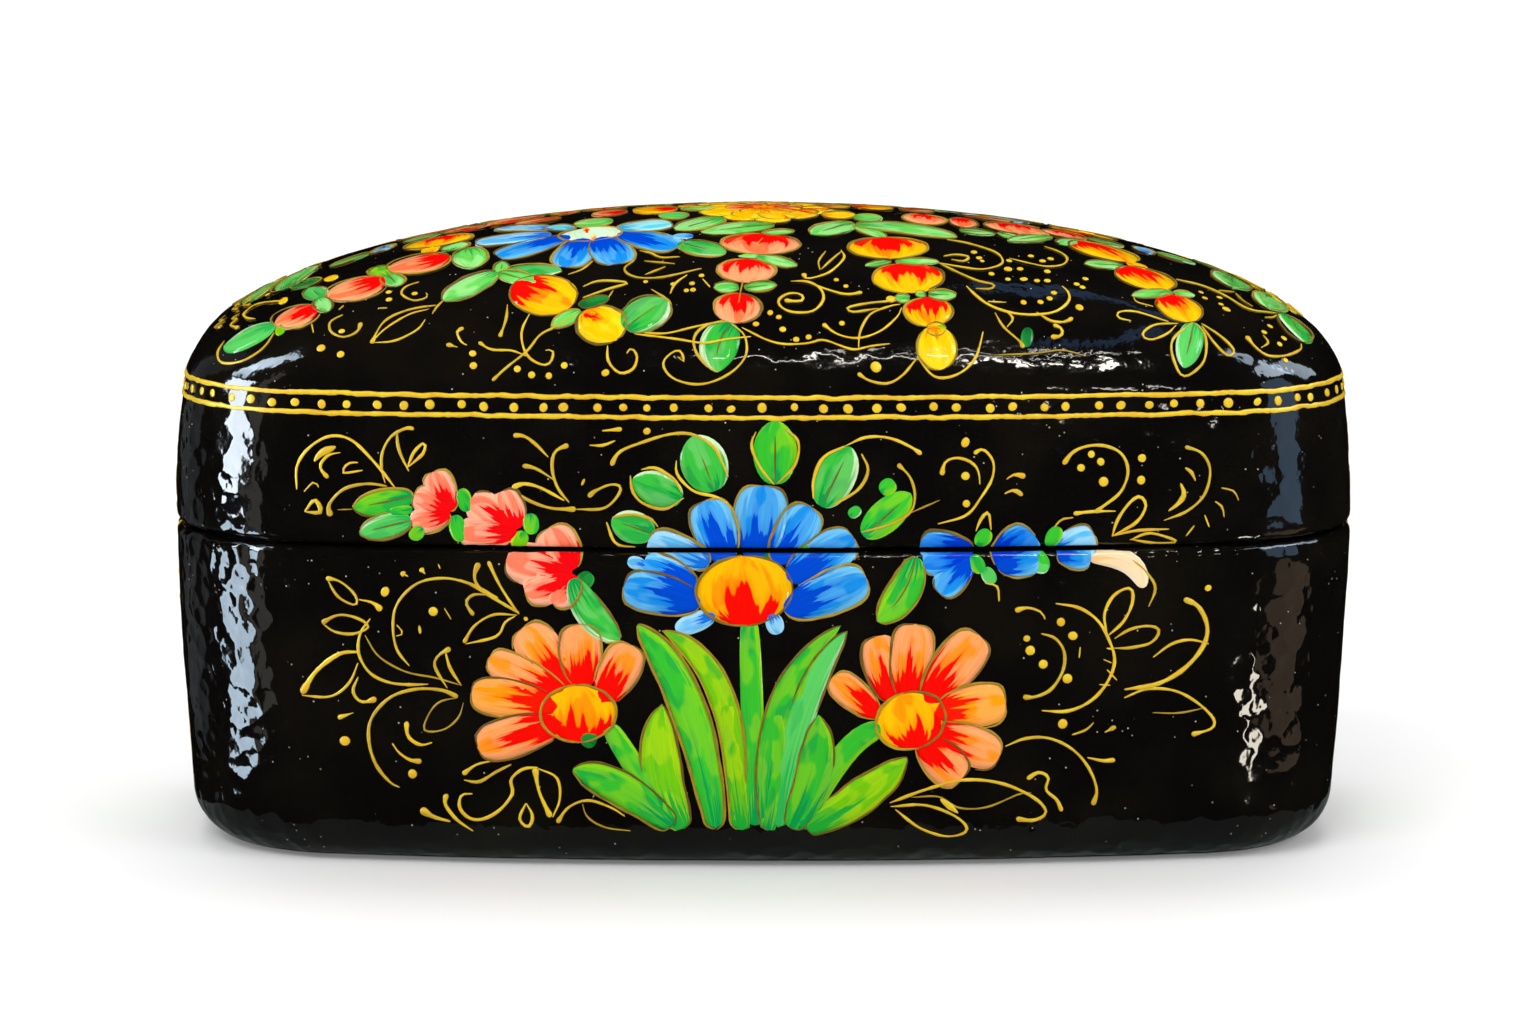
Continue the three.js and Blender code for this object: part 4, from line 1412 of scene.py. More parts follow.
# %% The dabs of the dome's front half
DOME_DABS = """
dab dark 1.3 27.6 8 27.2 5.4
leaf spring 2.8 -9 36.4 -5.4 37
leaf spring 3.7 -4.4 31.4 -9.5 27.2
leaf spring 3.6 1 28.8 -6.8 26.3
leaf white 3.6 -9.2 23.4 -4.2 20.4
leaf mint 3.2 -8.3 32 -11.2 33.6
leaf spring 4.1 -31.8 24.9 -31 18.3
leaf spring 1.8 -28 16.8 -27.9 19.8
leaf white 2.7 -27.4 17.8 -21.5 17.3
leaf spring 2.6 -28.3 17.3 -24.2 15.1
leaf spring 3.2 -28.4 17.4 -33.9 12
leaf dark 1.6 -19.5 11 -16.4 12.4
leaf spring 1.9 -19.4 10.3 -22.4 7.9
leaf white 4.6 -14.7 7.8 -10.3 12.2
petal sky 4.5 -22.8 27.2 -31 26.6
petal blue 4 -20.9 26.2 -28.4 21
petal blue 4.4 -19.4 25.2 -21 18
petal blue 4.6 -17.4 25.4 -15.4 18.6
petal blue 4.9 -15.6 26.6 -9.2 22.2
petal cyan 3.8 -15.8 28 -10 29.6
petal sky 3.6 -22.6 29.4 -28.7 34.2
petal cyan 2.9 -20.6 28.6 -23.2 31
dab sky 1.6 -7.6 25.4 -9.8 25.4
disc pale 7 -18.1 24.4 -19.2 28.9
leaf spring 4.2 -16.3 31 -20.5 31.2
dab amber 1.3 -19 26.9 -19.2 29
disc fire 6.7 -26.4 15.2 -20.4 10.9
disc yellow 5.1 -18.8 10.4 -15.6 6.3
dab fire 2.2 -19 9.8 -16.4 8.6
disc rose 8.6 -0.3 25.8 -0.6 20.4
disc rose 6.3 -1.8 19.3 -2.2 14.8
disc rose 5.1 -2.8 13 -3 8.6
leaf spring 1 -0.4 19.9 -2.8 19.9
leaf spring 1.9 -0.8 19.9 3.4 18
leaf spring 1.8 -2.8 14 -5.4 14
leaf spring 1.9 -2.2 13.9 1.2 14.5
leaf spring 1.7 -0.2 25.8 3.2 26.8
frond white 4.2 -3.4 8.7 -4.8 6 -5 2.6
leaf spring 3.8 9.6 29.7 5 25.8
leaf spring 3.8 9.6 32 12.8 32.2
disc yellow 4 6.2 33 9.9 33.2
disc fire 3.6 5.8 39.2 9.4 39.6
leaf spring 2 9.8 28.7 13 25.1
leaf spring 3.8 9.8 29.2 15.5 28.2 20.6 25.7
disc fire 8.5 12.9 25.2 13.3 19.8
disc fire 7.7 14.8 18.8 15.4 13.2
disc fire 5.2 16.9 12.5 17.3 8.1
disc yellow 4.3 17.6 8.1 18.2 2.8
leaf spring 1.7 13.8 19.2 18.5 19.3
leaf spring 1.2 13.4 19.2 10.6 18.1
leaf spring 1.4 15.2 12.3 13.6 12.3
leaf spring 1.1 16.9 13 15.8 13
leaf spring 1.6 17.2 13 20.1 12.8
leaf lime 1.7 16.9 7.8 18.9 7.8
disc rose 4.8 17.4 35.8 17.4 30.2
disc rose 3.3 21.6 36 21.6 30
disc rose 7.2 27.5 36.6 27.5 29.9
leaf spring 2.6 21 28.6 24.9 28.8
leaf spring 2.2 25.3 29.4 27.4 28
leaf spring 2.6 31 30.6 26.2 25.9
leaf spring 3 35.2 31.2 31.7 27.2
disc rose 5 32.7 36.4 32.7 31.6
leaf mint 4 35.2 34 39.3 34
petal sky 2.6 41.5 31.6 41.5 36.4
leaf mint 4.2 43 34.3 47.2 34.3
disc fire 7.2 34.4 30.6 38.8 23
dab yellow 2.4 38.8 22.8 41.1 22.4
leaf spring 2.6 38.5 21.4 34.1 20.3
disc fire 6.6 39 21.6 42.2 15.2
disc fire 5 42.6 14.4 45 9
leaf spring 1.9 43.3 15.1 38.8 13.1
leaf spring 1.7 43.4 15 45.7 15.2
frond mint 2.9 45.3 9 43.9 2.8
leaf spring 4.8 51.6 36.4 50.5 22.6
leaf spring 4.3 55.8 29.4 54.2 16.4
leaf white 3.8 56.1 16.4 57.6 6.8
frond mint 5 -51.9 9.8 -57.4 5.6
dab lime 1.2 -51.2 9.8 -51.2 7.4
disc rose 5.5 -47.5 12.8 -51.9 9.6
leaf mint 2.7 -47.1 14.8 -48.7 19.5
leaf spring 2.2 -47.4 15 -46.2 11
disc rose 6.8 -40.5 17.9 -46.3 14.4
leaf lime 3 -39.9 18.5 -41.7 22.8
leaf spring 2.4 -40.2 18.8 -38.8 15.2
disc rose 7.2 -33.7 22.9 -40.2 20.6
dab yellow 2.2 -35.9 25.4 -35.9 29
leaf spring 3.2 -33.8 24.8 -32.6 28
disc fire 7.4 -34.6 34 -35.8 28
leaf dark 3.3 -50.2 25.8 -48.6 20.8
dab yellow 1.6 -46.8 23.6 -46.2 20.8
dab yellow 1.1 -51.6 18.2 -51.4 15.8
disc sun 6.6 -9.4 37.4 -14.2 37
disc rose 4.8 -14.9 36.2 -18.6 37
petal rose 3.6 -22 36.5 -27 36
"""
CROWN_RUN = 37.2
CROWN_RINGS = (
    (7.9, 4.0, 11, 0.5, "yellow"),
    (6.7, 4.0, 10, 0.0, "ember"),
    (4.4, 3.0, 8, 0.5, "rose"),
)
print(len(rows_of(DOME_DABS)), "dabs on half of the dome")

# %% The gold scrolls of the dome's front half
DOME_SCROLLS = """
thin -0.2,24.5 -1,22.3
thin -1.8,18.3 -2.5,14 -2.8,11.5
thin 9.2,30 9.8,28
-57.4,7 -58,4.6 -57.6,2.9 -56.4,2.7 -54.6,3.4 -52.8,5.3 -51.8,8
-44.5,10.1 -45.8,9 -45.6,7.2 -44.2,6.4 -42.8,7.2 -42.5,8.5b
o0.35 -44.5,7.3
o0.45 -46.6,5
o0.4 -44.5,4.2
o0.35 -39.8,14
o0.35 -39.7,12.4
o0.35 -37,13.3
-47.8,9 -47.5,7.3
-44.5,12 -45,11.2
-40.8,10.8 -39.8,10.8
-36.6,15.7 -38,14.9 -38.4,13.3 -37,12 -35.6,12.6 -35.8,13.4
-41.3,5.6b -40,8.7 -37.6,10.4 -34.6,11.2
-41.3,5.7 -40,7.5 -37.5,9.7 -35.3,10.6
-41.2,5.7 -38.8,6 -36.5,7.5 -35.7,9
-33.9,12 -34.6,10.8 -35,9.8
-31.6,7.8b -32.3,7.2 -31.8,5.9 -31.2,5.5
-33.4,5.6b -32.2,5.3
o0.4 -30.6,4.5
o0.4 -30.5,3.1
-24.7,9.9 -25.5,7.5 -25.3,5.3 -24.5,3.9 -23,3.3 -22.3,3.9 -22.2,5 -23,5
-28.5,1.5b -27,3 -24.9,4.9 -23.6,6.9 -22,8 -19.5,10
-27.1,11.3 -27.2,9 -27.8,6.6b
-30,5.9b -28.7,5 -26.5,4.9 -25,4.3
o0.35 -25.9,2.8
o0.35 -24.4,2.2
o0.35 -22.6,2.1
o0.35 -21,3.3
-16.5,5.7 -16.4,3.8 -15.2,2.5 -13.8,3 -13.4,4.4 -14,5.3 -14.5,4.7
o0.4 -16.7,2.5
-9.2,4.4 -8.5,3.8 -8.9,5 -9.8,4.8 -10.7,3.5 -9.6,1.9 -6.8,1.3 -3.9,2.4 -2.1,4.4 -2.2,6.9 -3.6,8.5
-4,8.8 -6,8.4 -7.4,6.9 -7.3,5 -6,3.2 -5,2.6
-13.7,7.1 -11,6.7 -9,6.4 -6.5,6 -4,6.5 -1.5,6.8
-13.3,7.3 -10.5,7.2 -7.5,8 -4.5,8.9
-13.8,19.3 -14.9,17.5 -13.8,16 -11,15.8 -6.7,17.4
-12.8,19.1 -9.5,18.4
-12.7,16.3 -10.5,17.9
o0.3 -12.6,15.1
o0.3 -7.7,14.7
o0.3 -8.3,13.5
o0.3 -7.6,13.6
o0.3 -6.7,16.1
o0.3 -9.7,14.6
-10,12.9 -9.5,14.6 -8.2,16.2
-12,13.7 -10.3,12 -9.8,11.2
-20.8,16.5 -19.3,17.5 -18.2,19.3
-19.2,14.2 -17.5,15.2 -14.5,14.9 -16.5,13.8 -19.2,12.3
-13.3,21.5 -12,20.8 -11,19.8 -9,19.9
-16,13.5 -16.5,12.3
-6.6,15.5 -5.8,14
8.1,21.5 8.4,19.7 7,17 5.5,15.9 4.3,15.6 4.1,16.5b
8.2,21.3 7,19.2 5.9,17.3
6.5,21.3 5.7,19 5.8,17.2
2.7,15.1 4.5,15 5.8,13.8 6.1,12 5,10.3 3,10.1 1.7,10.8 1.4,12 2.5,13 3.8,12.8 3.9,11.9 2.7,11.8 2,12b
4.6,14.9 6.5,13.7 8.5,12.9 10.2,13.2b
o0.3 7.5,15.4
o0.3 8.5,14.3
o0.35 0.5,10.1
o0.35 1.4,9.5
o0.35 8,8.6
o0.35 1.8,7.8
o0.35 -1,8.5
o0.35 3.2,6.5
o0.35 4.5,6.8
-2.5,8 0,6.5 2,5.9 4.5,6 6,6.4 8,5.6 9.3,5.2 11,5.6 13,5.9
6,8.5b 7.5,7.1 9.7,6.6 12,7.5 13.8,9.5 14.3,10.8
9.7,5.4 9.9,7.5 11,9.8 13,11 14.2,11.3
14,11.9 11,11.5 8.6,10.8b 9.2,10.2 11.9,10.7
o0.55 13.2,12.2
9.6,2.5b 10.8,1.7 12.7,1.4 14.3,2.3 15.8,4.2
o0.6 11.5,3.2
15.8,4.4 17.6,2.1 20,2.3 21.9,4.1 22.8,7.4
19.5,25 22,23.9 24.6,21.9 25.3,20 24.9,18.8 22.9,17.8 20.5,18.3 18.4,19
18.5,18.9 20.5,17 22.6,15.4 24.2,14.8 23.8,14 22.2,14
19,20.5 20.3,21 21.7,20.6 21.2,19.5 19.8,19.8
o0.35 22.3,21.8
o0.35 22.8,20.4
o0.3 23.1,19.7
o0.35 24,17
o0.5 25.8,18.1
o0.35 27.1,18.2
o0.35 26,20
o0.35 27.3,16
o0.35 25.7,16
21.2,14.5 22.2,12.8 23.5,11.3 25.5,10.2 28,9.8 30.5,10.3 32,12 32,13.6 31.4,14.7
23.4,11.8 25.4,11.7
24.1,10.1 25,8 26.7,6 26.9,5.3b
25.2,10.5 26,9.2 25.3,8
28.5,10.2 30,8.9 31.5,8.8 32.3,9.4b
30.2,8.4b 31.1,7.8 31,6.8 29.9,6.7b
o0.35 27.2,11.8
o0.35 29,11.9
o0.35 30,12.5
o0.35 30.5,13.5
o0.5 33.1,11
o0.35 28.8,15.8
o0.35 29.9,15.8
o0.35 27.5,16.1
o0.35 30,17.8
o0.35 33,15.2
o0.35 33.6,14.6
o0.35 34,16.4
o0.35 28.4,21.5
o0.35 29.6,20.3
o0.35 30.5,21
26,20.5 28,19.5 30,18.8 31.7,19.5 32.3,21.5 31.6,23.5 30,25
thin 23.7,4.5 28,4.6 31,5 33.5,4.3
46,8.9 48,7 49.3,5 48.6,4.2b 47.3,5.8 46,8.5
43.5,8.6 41,8.3 39.6,7b 40.4,6.2 42.2,7 43.3,8.4
42.5,8.8 39,10.3 37.2,10.2b 37.2,9.3 38.5,8.9
45,8.9 42.7,6 43,3 44,1.8 46,3.5 46.3,7 45.3,8.9
39,13 39.2,12 41,11.3
57,6.5 56.8,5.2 55,4.2 53,4.2 51.7,5.5 50.8,7.3b
52.7,7.8 53.2,6.4 52.3,5.4
o0.35 55,3.5
o0.35 53.7,10
o0.35 52.9,8.4
o0.35 55.1,7.5
o0.35 54.5,6.2
o0.35 48.5,13.9
o0.5 49,12.7
o0.35 46.8,14.9
o0.35 46.5,16.5
o0.35 48.5,16
44,19.6 47,19.1 49.2,17.2 51,14.6 52.5,14 55.3,15.3
50.6,19.5 51.2,17 52.2,15.3
55,14.6 54.3,12.9 53.3,12.3
48.6,18.7 50.5,20
-58.5,21.5 -59.2,20 -58.5,17.8 -59.3,15.5 -58.4,12.9b
-56.4,16.8 -57.2,15.2 -56.5,13.6 -57.1,11.8 -56.1,10.2b
-57,29.4 -57.9,27.5 -57.2,26 -57.9,24 -57.2,22.2b
-55.6,28.8 -56.5,27 -55.8,25.2 -56.5,23 -55.6,21b
-54.2,12 -55.3,13 -55.8,15.6 -54.8,19 -52.8,17.6 -51.4,16.4b
o0.35 -53.8,24.5
"""
print(len(rows_of(DOME_SCROLLS)), "gold strokes on half of the dome")

# %% [markdown]
# ## The painting on the ends
# Each end has a bunch of its own, plainer than the front's: one orange flower over a tuft of
# leaves, with a bud and scrolls at each side. Only one side of it is written down. The other
# side is its mirror image, as folk painters like to work.

# %% The dabs and scrolls of an end, from its middle
END_DABS = """
stem leaf 2.2 0.2 4.6 0.6 13 0 24
blade leaf 3.3 -1.8 4.6 -4.4 14 -9.4 20.6
blade leaf 3.2 1.8 4.6 5.2 13.4 8.8 21.4
blade mint 2.3 0.9 4.6 2.2 11 4.4 16.8
leaf white 4.2 0.4 39.6 0.8 46.4
petal orange 4.7 0 30.4 0.3 37.6
petal orange 4.6 -1.4 30 -5.6 35.8
petal orange 4.6 1.5 30 6 35.4
petal amber 4.4 -2 28.8 -8.6 30.6
petal amber 4.4 2 28.8 8.8 30.2
petal orange 4.5 -1.8 27.4 -7.8 24.8
petal orange 4.4 1.8 27.4 7.6 24.4
petal orange 4 -1 26.6 -4 21.6
petal orange 4 1 26.6 3.8 21.2
disc sun 6.8 0.2 25.4 -0.1 31.4
"""
END_SIDE_DABS = """
blade lime 2.8 3 4.6 6.2 7.6 9 9.6
leaf leaf 3.7 4.4 39.4 6.8 44.6
leaf white 3 7.6 37 11.4 39.8
leaf leaf 1.5 9.2 43.2 8.6 45.4
lobe deepblue 2.5 8.6 43.4 10.4 45.4
lobe blue 2.3 8.6 43 11 42.8
"""
END_SCROLLS = """
thin 6.6,43.4 7.6,43.8 8.6,43.2
4.8,4.3 7.2,3.9 9.4,4.8 10.8,7.2 10.7,9.8 9.6,11b
10.8,8.8 11,11.4 10.4,13.6 9.2,14.4b
o0.4 10,17.2
o0.35 10.8,19.6
11,26.2b 10.6,24.6 9.8,23.2
o0.4 11,28.6
10.4,36.2b 11.2,34.8 11.2,32.6
thin 2.6,47 4.2,47.4 5.8,46.8
3.8,38.2b 5.4,37.8 6.6,36.6
"""
print(len(rows_of(END_DABS)) + 2 * len(rows_of(END_SIDE_DABS)), "dabs on an end")

# %% [markdown]
# ## From lines of numbers to strokes
# A row becomes a dab or a stroke, and every one is made a second time, half a turn round, for
# the back. Paint that crosses the seam is cut there, as it was when the lid was first lifted off
# the finished box, so a dab near the seam goes on both halves and each half trims it later.

# %% Read the rows and turn them into points on the box
RIM_TRIM = 0.12
LIFT_LOWEST = 0.045
LIFT_STEP = 0.004
LIFT_STEPS = 16
COLOUR_STRAY = 0.05
EDGE_STEPS = 12
Face = namedtuple("Face", ("surface", "half_turns", "on_lid"))


def on_end(side):
    """Places on an end wall from its middle, or mirrored where the side is -1."""
    return lambda aside, height: on_wall(GIRTH / 4 + side * aside, height)


def faces_at(half_turns):
    """The front wall, the dome, and an end both plain and mirrored. One half turn gives the back's."""
    surfaces = ((on_wall, False), (on_dome, True), (on_end(1), False), (on_end(-1), False))
    return [Face(surface, half_turns, on_lid) for surface, on_lid in surfaces]


def put_on(face, flat):
    """The points of the box at flat places of a face."""
    points = [face.surface(x, y) for x, y in flat]
    return [Vector((-p.x, -p.y, p.z)) for p in points] if face.half_turns else points


def read_dab(words):
    """One row as shape, colours, width and three flat points."""
    shape, colours, width = words[0], words[1], float(words[2])
    numbers = [float(w) for w in words[3:]]
    flat = [(numbers[k], numbers[k + 1]) for k in range(0, len(numbers), 2)]
    if len(flat) == 2:
        middle = tuple((a + b) / 2 for a, b in zip(*flat))
        flat.insert(1, middle)
    return shape, colours, width, flat


def dab_edges(shape, width, flat, stray):
    """A dab's two edges as flat lines, from its base to its tip."""
    skew, root_end, tip_end = SHAPES[shape]
    start, middle, end = (np.array(p) for p in flat)
    pull = 2 * middle - (start + end) / 2
    sides = {-1: [], 1: []}
    for k in range(EDGE_STEPS + 1):
        along = k / EDGE_STEPS
        share = (1 - math.cos(math.pi * along)) / 2
        spine = start * (1 - share) ** 2 + pull * 2 * share * (1 - share) + end * share**2
        heading = (pull - start) * (1 - share) + (end - pull) * share
        heading = heading / max(np.hypot(*heading), 1e-9)
        ending = root_end * (1 - along) + tip_end * along
        half = width / 2 * abs(math.sin(math.pi * along**skew)) ** ending
        aside = np.array((-heading[1], heading[0])) * (half + stray)
        for side in sides:
            sides[side].append(tuple(spine + aside * side))
    return sides


print("dabs lie between", LIFT_LOWEST, "and", round(LIFT_LOWEST + LIFT_STEP * LIFT_STEPS, 3), "mm thick")

# %% Gather the dabs of the lid and of the base
HAND_SEED = 11
random.seed(HAND_SEED)
dabs = {"base": [], "lid": []}
strokes = {"base": [], "lid": []}
OUTLINE_WIDTH = 0.27
WALL_SCROLL_WIDTH = 0.33
DOME_SCROLL_WIDTH = 0.28
STROKE_LIFT = 0.09
END_SCROLL_LIFT = 0.02
THIN_SHARE = 0.65
THIN_PAINT = 0.6
OUTLINE_STRAY = 0.035
OUTLINE_MARGIN = 0.2
COVER_MARGIN = 0.12
VEIN_WIDTH = 0.16
VEIN_SHARE = 0.6
VEIN_PAINT = 0.95
SHORTEST_RUN = 4


def add_stroke(points, width, thinness, bodies, blobs=(), lift=STROKE_LIFT):
    stroke = {"points": points, "width": width, "thinness": thinness, "blobs": blobs, "lift": lift}
    for body in bodies:
        strokes[body].append(stroke)


def bodies_at(flat, margin, face):
    """Which halves a mark touches: only the lid for the dome, either or both for the walls."""
    if face.on_lid:
        return ["lid"]
    heights = [p[1] for p in flat]
    found = []
    if min(heights) - margin < BASE_HEIGHT:
        found.append("base")
    if max(heights) + margin > LID_BOTTOM:
        found.append("lid")
    return found


def covered(point, shape_rows):
    """Whether a flat point is under one of the shapes, each given as a closed line."""
    x, y = point
    for low_x, high_x, low_y, high_y, line in shape_rows:
        if not (low_x < x < high_x and low_y < y < high_y):
            continue
        inside = False
        for (ax, ay), (bx, by) in zip(line, line[1:] + line[:1]):
            if (ay > y) != (by > y) and x < (bx - ax) * (y - ay) / (by - ay) + ax:
                inside = not inside
        if inside:
            return True
    return False


def closed_line(shape, width, flat):
    """A dab's whole outline with the box round it, for seeing what it covers."""
    sides = dab_edges(shape, width, flat, -COVER_MARGIN)
    line = sides[1] + sides[-1][::-1]
    xs, ys = [p[0] for p in line], [p[1] for p in line]
    return min(xs), max(xs), min(ys), max(ys), line


def add_fine_line(run, width, thinness, face):
    """A gold line through flat points, left out where too few of them are uncovered."""
    if len(run) >= SHORTEST_RUN:
        add_stroke(put_on(face, run), width, thinness, bodies_at(run, OUTLINE_MARGIN, face))


def outline_dab(row, later, face):
    """The fine gold line drawn loosely round a petal or leaf, where no later dab covers it."""
    shape, width, flat = row
    if shape in ("stem", "dab", "frond"):
        return
    stray = random.uniform(-0.08, 0.12)
    for side in dab_edges(shape, width, flat, stray).values():
        weight, thinness = OUTLINE_WIDTH * random.uniform(0.75, 1.25), random.uniform(0.55, 1.05)
        run = []
        for point in [*side, None]:
            if point is not None and not covered(point, later):
                run.append(tuple(c + random.gauss(0, OUTLINE_STRAY) for c in point))
                continue
            add_fine_line(run, weight, thinness, face)
            run = []


def vein_dab(row, later, face):
    """The thin line down the middle of a leaf."""
    shape, _, flat = row
    run = [point for point in dab_edges(shape, 0, flat, 0)[1][1:9] if not covered(point, later)]
    add_fine_line(run, VEIN_WIDTH, VEIN_PAINT, face)


def outline_all(rows, face):
    """Outlines every dab. The lobes of one bud run together, with no line between them."""
    shapes = [closed_line(*row) for row in rows]
    for k, row in enumerate(rows):
        joined = [s for s, (kind, *_) in zip(shapes[:k], rows) if kind == row[0] == "lobe"]
        outline_dab(row, shapes[k + 1:] + joined, face)
        if row[0] in ("leaf", "frond") and random.random() < VEIN_SHARE:
            vein_dab(row, shapes[k + 1:], face)


def add_dab(words, face):
    shape, colours, width, flat = read_dab(words)
    bodies = bodies_at(flat, width / 2, face)
    stray = random.uniform(-COLOUR_STRAY, COLOUR_STRAY)
    *tints, flame_reach, one_sided, rim_share = PALETTE[colours]
    row = {
        "points": put_on(face, flat), "width": width * MM,
        "shape": SHAPES[shape], "broad": width / 2, "long": math.dist(flat[0], flat[-1]),
        "tints": [[c * (1 + stray) for c in linear(*rgb)[:3]] + [1.0] for rgb in tints],
        "flame_reach": flame_reach, "one_sided": one_sided, "rim_share": rim_share,
        "seed": random.random(),
    }
    for body in bodies:
        row["lift"] = (LIFT_LOWEST + LIFT_STEP * (len(dabs[body]) % LIFT_STEPS)) * MM
        dabs[body].append(dict(row))
    return shape, width, flat


def crown_rows():
    """The ring flower on the crown: long petals under short ones, and a heart."""
    rows = []
    for reach, width, count, shift, colours in CROWN_RINGS:
        for k in range(count):
            angle = 2 * math.pi * (k + shift) / count
            away = (math.cos(angle), math.sin(angle))
            spread = reach * random.uniform(0.93, 1.07)
            ends = [n for r in (1.2, spread) for n in (away[0] * r, CROWN_RUN + away[1] * r)]
            rows.append(["petal", colours, str(width), *map(str, ends)])
    rows.append(["disc", "sun", "4", "0", str(CROWN_RUN - 1.9), "0", str(CROWN_RUN + 1.9)])
    return rows


def paint_rows(rows, face):
    """Adds the dabs of some rows, and then the gold lines round them."""
    outline_all([add_dab(words, face) for words in rows], face)


for half_turns in (0, 1):
    wall, dome, end, mirrored_end = faces_at(half_turns)
    paint_rows(rows_of(WALL_DABS), wall)
    paint_rows(rows_of(DOME_DABS), dome)
    paint_rows(rows_of(END_DABS), end)
    paint_rows(rows_of(END_SIDE_DABS), end)
    paint_rows(rows_of(END_SIDE_DABS), mirrored_end)
paint_rows(crown_rows(), Face(on_dome, 0, True))
print({body: len(rows) for body, rows in dabs.items()}, "dabs")

# %% Gather the gold strokes
def read_stroke(words, usual_width):
    """One row of a scroll: its width, how thin the paint is, its points and its blobs."""
    width, thinness = usual_width * random.uniform(0.85, 1.15), random.uniform(0, 0.35)
    if words[0] == "thin":
        width, thinness = usual_width * THIN_SHARE, THIN_PAINT
    elif "," not in words[0]:
        width = float(words[0])
    pairs = [w for w in words if "," in w]
    blobs = [k for k, w in enumerate(pairs) if w.endswith("b")]
    flat = [tuple(float(n) for n in w.rstrip("b").split(",")) for w in pairs]
    return width, thinness, flat, blobs


def add_touch(radius, pair, face):
    """A round touch of gold: its radius, then its place. It goes on one half only."""
    flat = [tuple(float(n) for n in pair.split(","))]
    body = bodies_at(flat, 0, face)[0]
    touches[body].append((put_on(face, flat)[0], float(radius[1:]) * MM))


def gather_scrolls(table, face, usual_width, lift=STROKE_LIFT):
    for words in rows_of(table):
        if words[0].startswith("o"):
            add_touch(*words, face)
            continue
        width, thinness, flat, blobs = read_stroke(words, usual_width)
        add_stroke(put_on(face, flat), width, thinness, bodies_at(flat, width, face), blobs, lift)


touches = {"base": [], "lid": []}
for half_turns in (0, 1):
    wall, dome, end, mirrored_end = faces_at(half_turns)
    gather_scrolls(WALL_SCROLLS, wall, WALL_SCROLL_WIDTH)
    gather_scrolls(DOME_SCROLLS, dome, DOME_SCROLL_WIDTH)
    for face in (end, mirrored_end):
        gather_scrolls(END_SCROLLS, face, WALL_SCROLL_WIDTH, END_SCROLL_LIFT)
print({body: len(rows) for body, rows in strokes.items()}, "gold strokes and outlines")

# %% [markdown]
# ## Press the dabs
# The gathered rows become a cloud of bare points, one for each dab, whose attributes hold the
# numbers. The tree does the rest. Both halves of the box get a piece of their own. A straight cut
# along the seam takes away what hangs over it, the cut is closed, and the paint next to it is
# bent over the rounded rim.

# %% Run the dab tree for both halves
def point_cloud(name, rows):
    mesh = bpy.data.meshes.new(name)
    mesh.from_pydata([tuple(row["points"][1]) for row in rows], [], [])
    for k, label in enumerate(("start", "middle", "end")):
        note(mesh, label, [c for row in rows for c in row["points"][k]], "FLOAT_VECTOR")
    for k, label in enumerate(("flame_colour", "body_colour", "rim_colour")):
        note(mesh, label, [c for row in rows for c in row["tints"][k]], "FLOAT_COLOR")
    for k, label in enumerate(("skew", "root_end", "tip_end")):
        note(mesh, label, [row["shape"][k] for row in rows])
    for label in ("width", "lift", "seed", "flame_reach", "one_sided", "rim_share", "long", "broad"):
        note(mesh, label, [row[label] for row in rows])
    return mesh


RIM_CUTS = (0.28, 0.45, 0.7, 1.0)


def cut_level(shape, height, below=False, above=False):
    """Cuts a mesh at a height in millimetres, and drops what is below or above it."""
    bmesh.ops.bisect_plane(
        shape, geom=shape.verts[:] + shape.edges[:] + shape.faces[:], dist=1e-8,
        plane_co=(0, 0, height * MM), plane_no=(0, 0, 1), clear_inner=below, clear_outer=above,
    )


def tuck_over_rim(shape, lip):
    """Bends the paint over the rounded rim, inwards along the wall's own direction."""
    wall = BVHTree.FromObject(whole_form, bpy.context.evaluated_depsgraph_get())
    for vertex in shape.verts:
        away = abs(vertex.co.z / MM - lip)
        if away < RIM_ROUNDING:
            out = wall.find_nearest(vertex.co)[1]
            inset = RIM_ROUNDING - math.sqrt(RIM_ROUNDING**2 - (RIM_ROUNDING - away) ** 2)
            vertex.co -= Vector((out.x, out.y, 0)).normalized() * inset * MM


def trim_at_seam(mesh, body):
    """Cuts off what hangs over the seam, closes the cut, and tucks the rest over the rounded rim."""
    on_lid = body == "lid"
    lip, way = (LID_BOTTOM, 1) if on_lid else (BASE_HEIGHT, -1)
    shape = bmesh.new()
    shape.from_mesh(mesh)
    cut_level(shape, lip + way * RIM_TRIM, below=on_lid, above=not on_lid)
    bmesh.ops.holes_fill(shape, edges=[e for e in shape.edges if e.is_boundary])
    for share in RIM_CUTS:
        cut_level(shape, lip + way * RIM_ROUNDING * share)
    tuck_over_rim(shape, lip)
    for face in shape.faces:
        face.smooth = True
    shape.to_mesh(mesh)
    shape.free()


def lay_paint(mesh, body, tree, values):
    """Lays paint on the closed box, trims it for one half, and hands it over as that half's."""
    piece = grow(mesh.name, mesh, tree, {"Shell": whole_form, **values})
    trim_at_seam(piece.data, body)
    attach(piece, body)
    print(piece.name, len(piece.data.polygons), "faces")


dab_values = {
    "Cushion": cushion, "Edge sunk": DAB_EDGE_SUNK, "Hand wobble": HAND_WOBBLE,
    "Material": flower_paint,
}
for body, rows in dabs.items():
    lay_paint(point_cloud(f"{body}_flowers", rows), body, pressed_dabs, dab_values)

# %% [markdown]
# ## Draw the gold
# A gold stroke is a soft bead that starts thin, swells and leaves a blob where the brush rested.
# Each line of points is smoothed, and a second tree sweeps a small ring along it and flattens the
# bead on the shell, so that it follows every dent.

# %% The tree that lays a bead along every line
BEAD_SIDES = 6
BEAD_FLATNESS = 0.42
BEAD_SUNK = 1.3


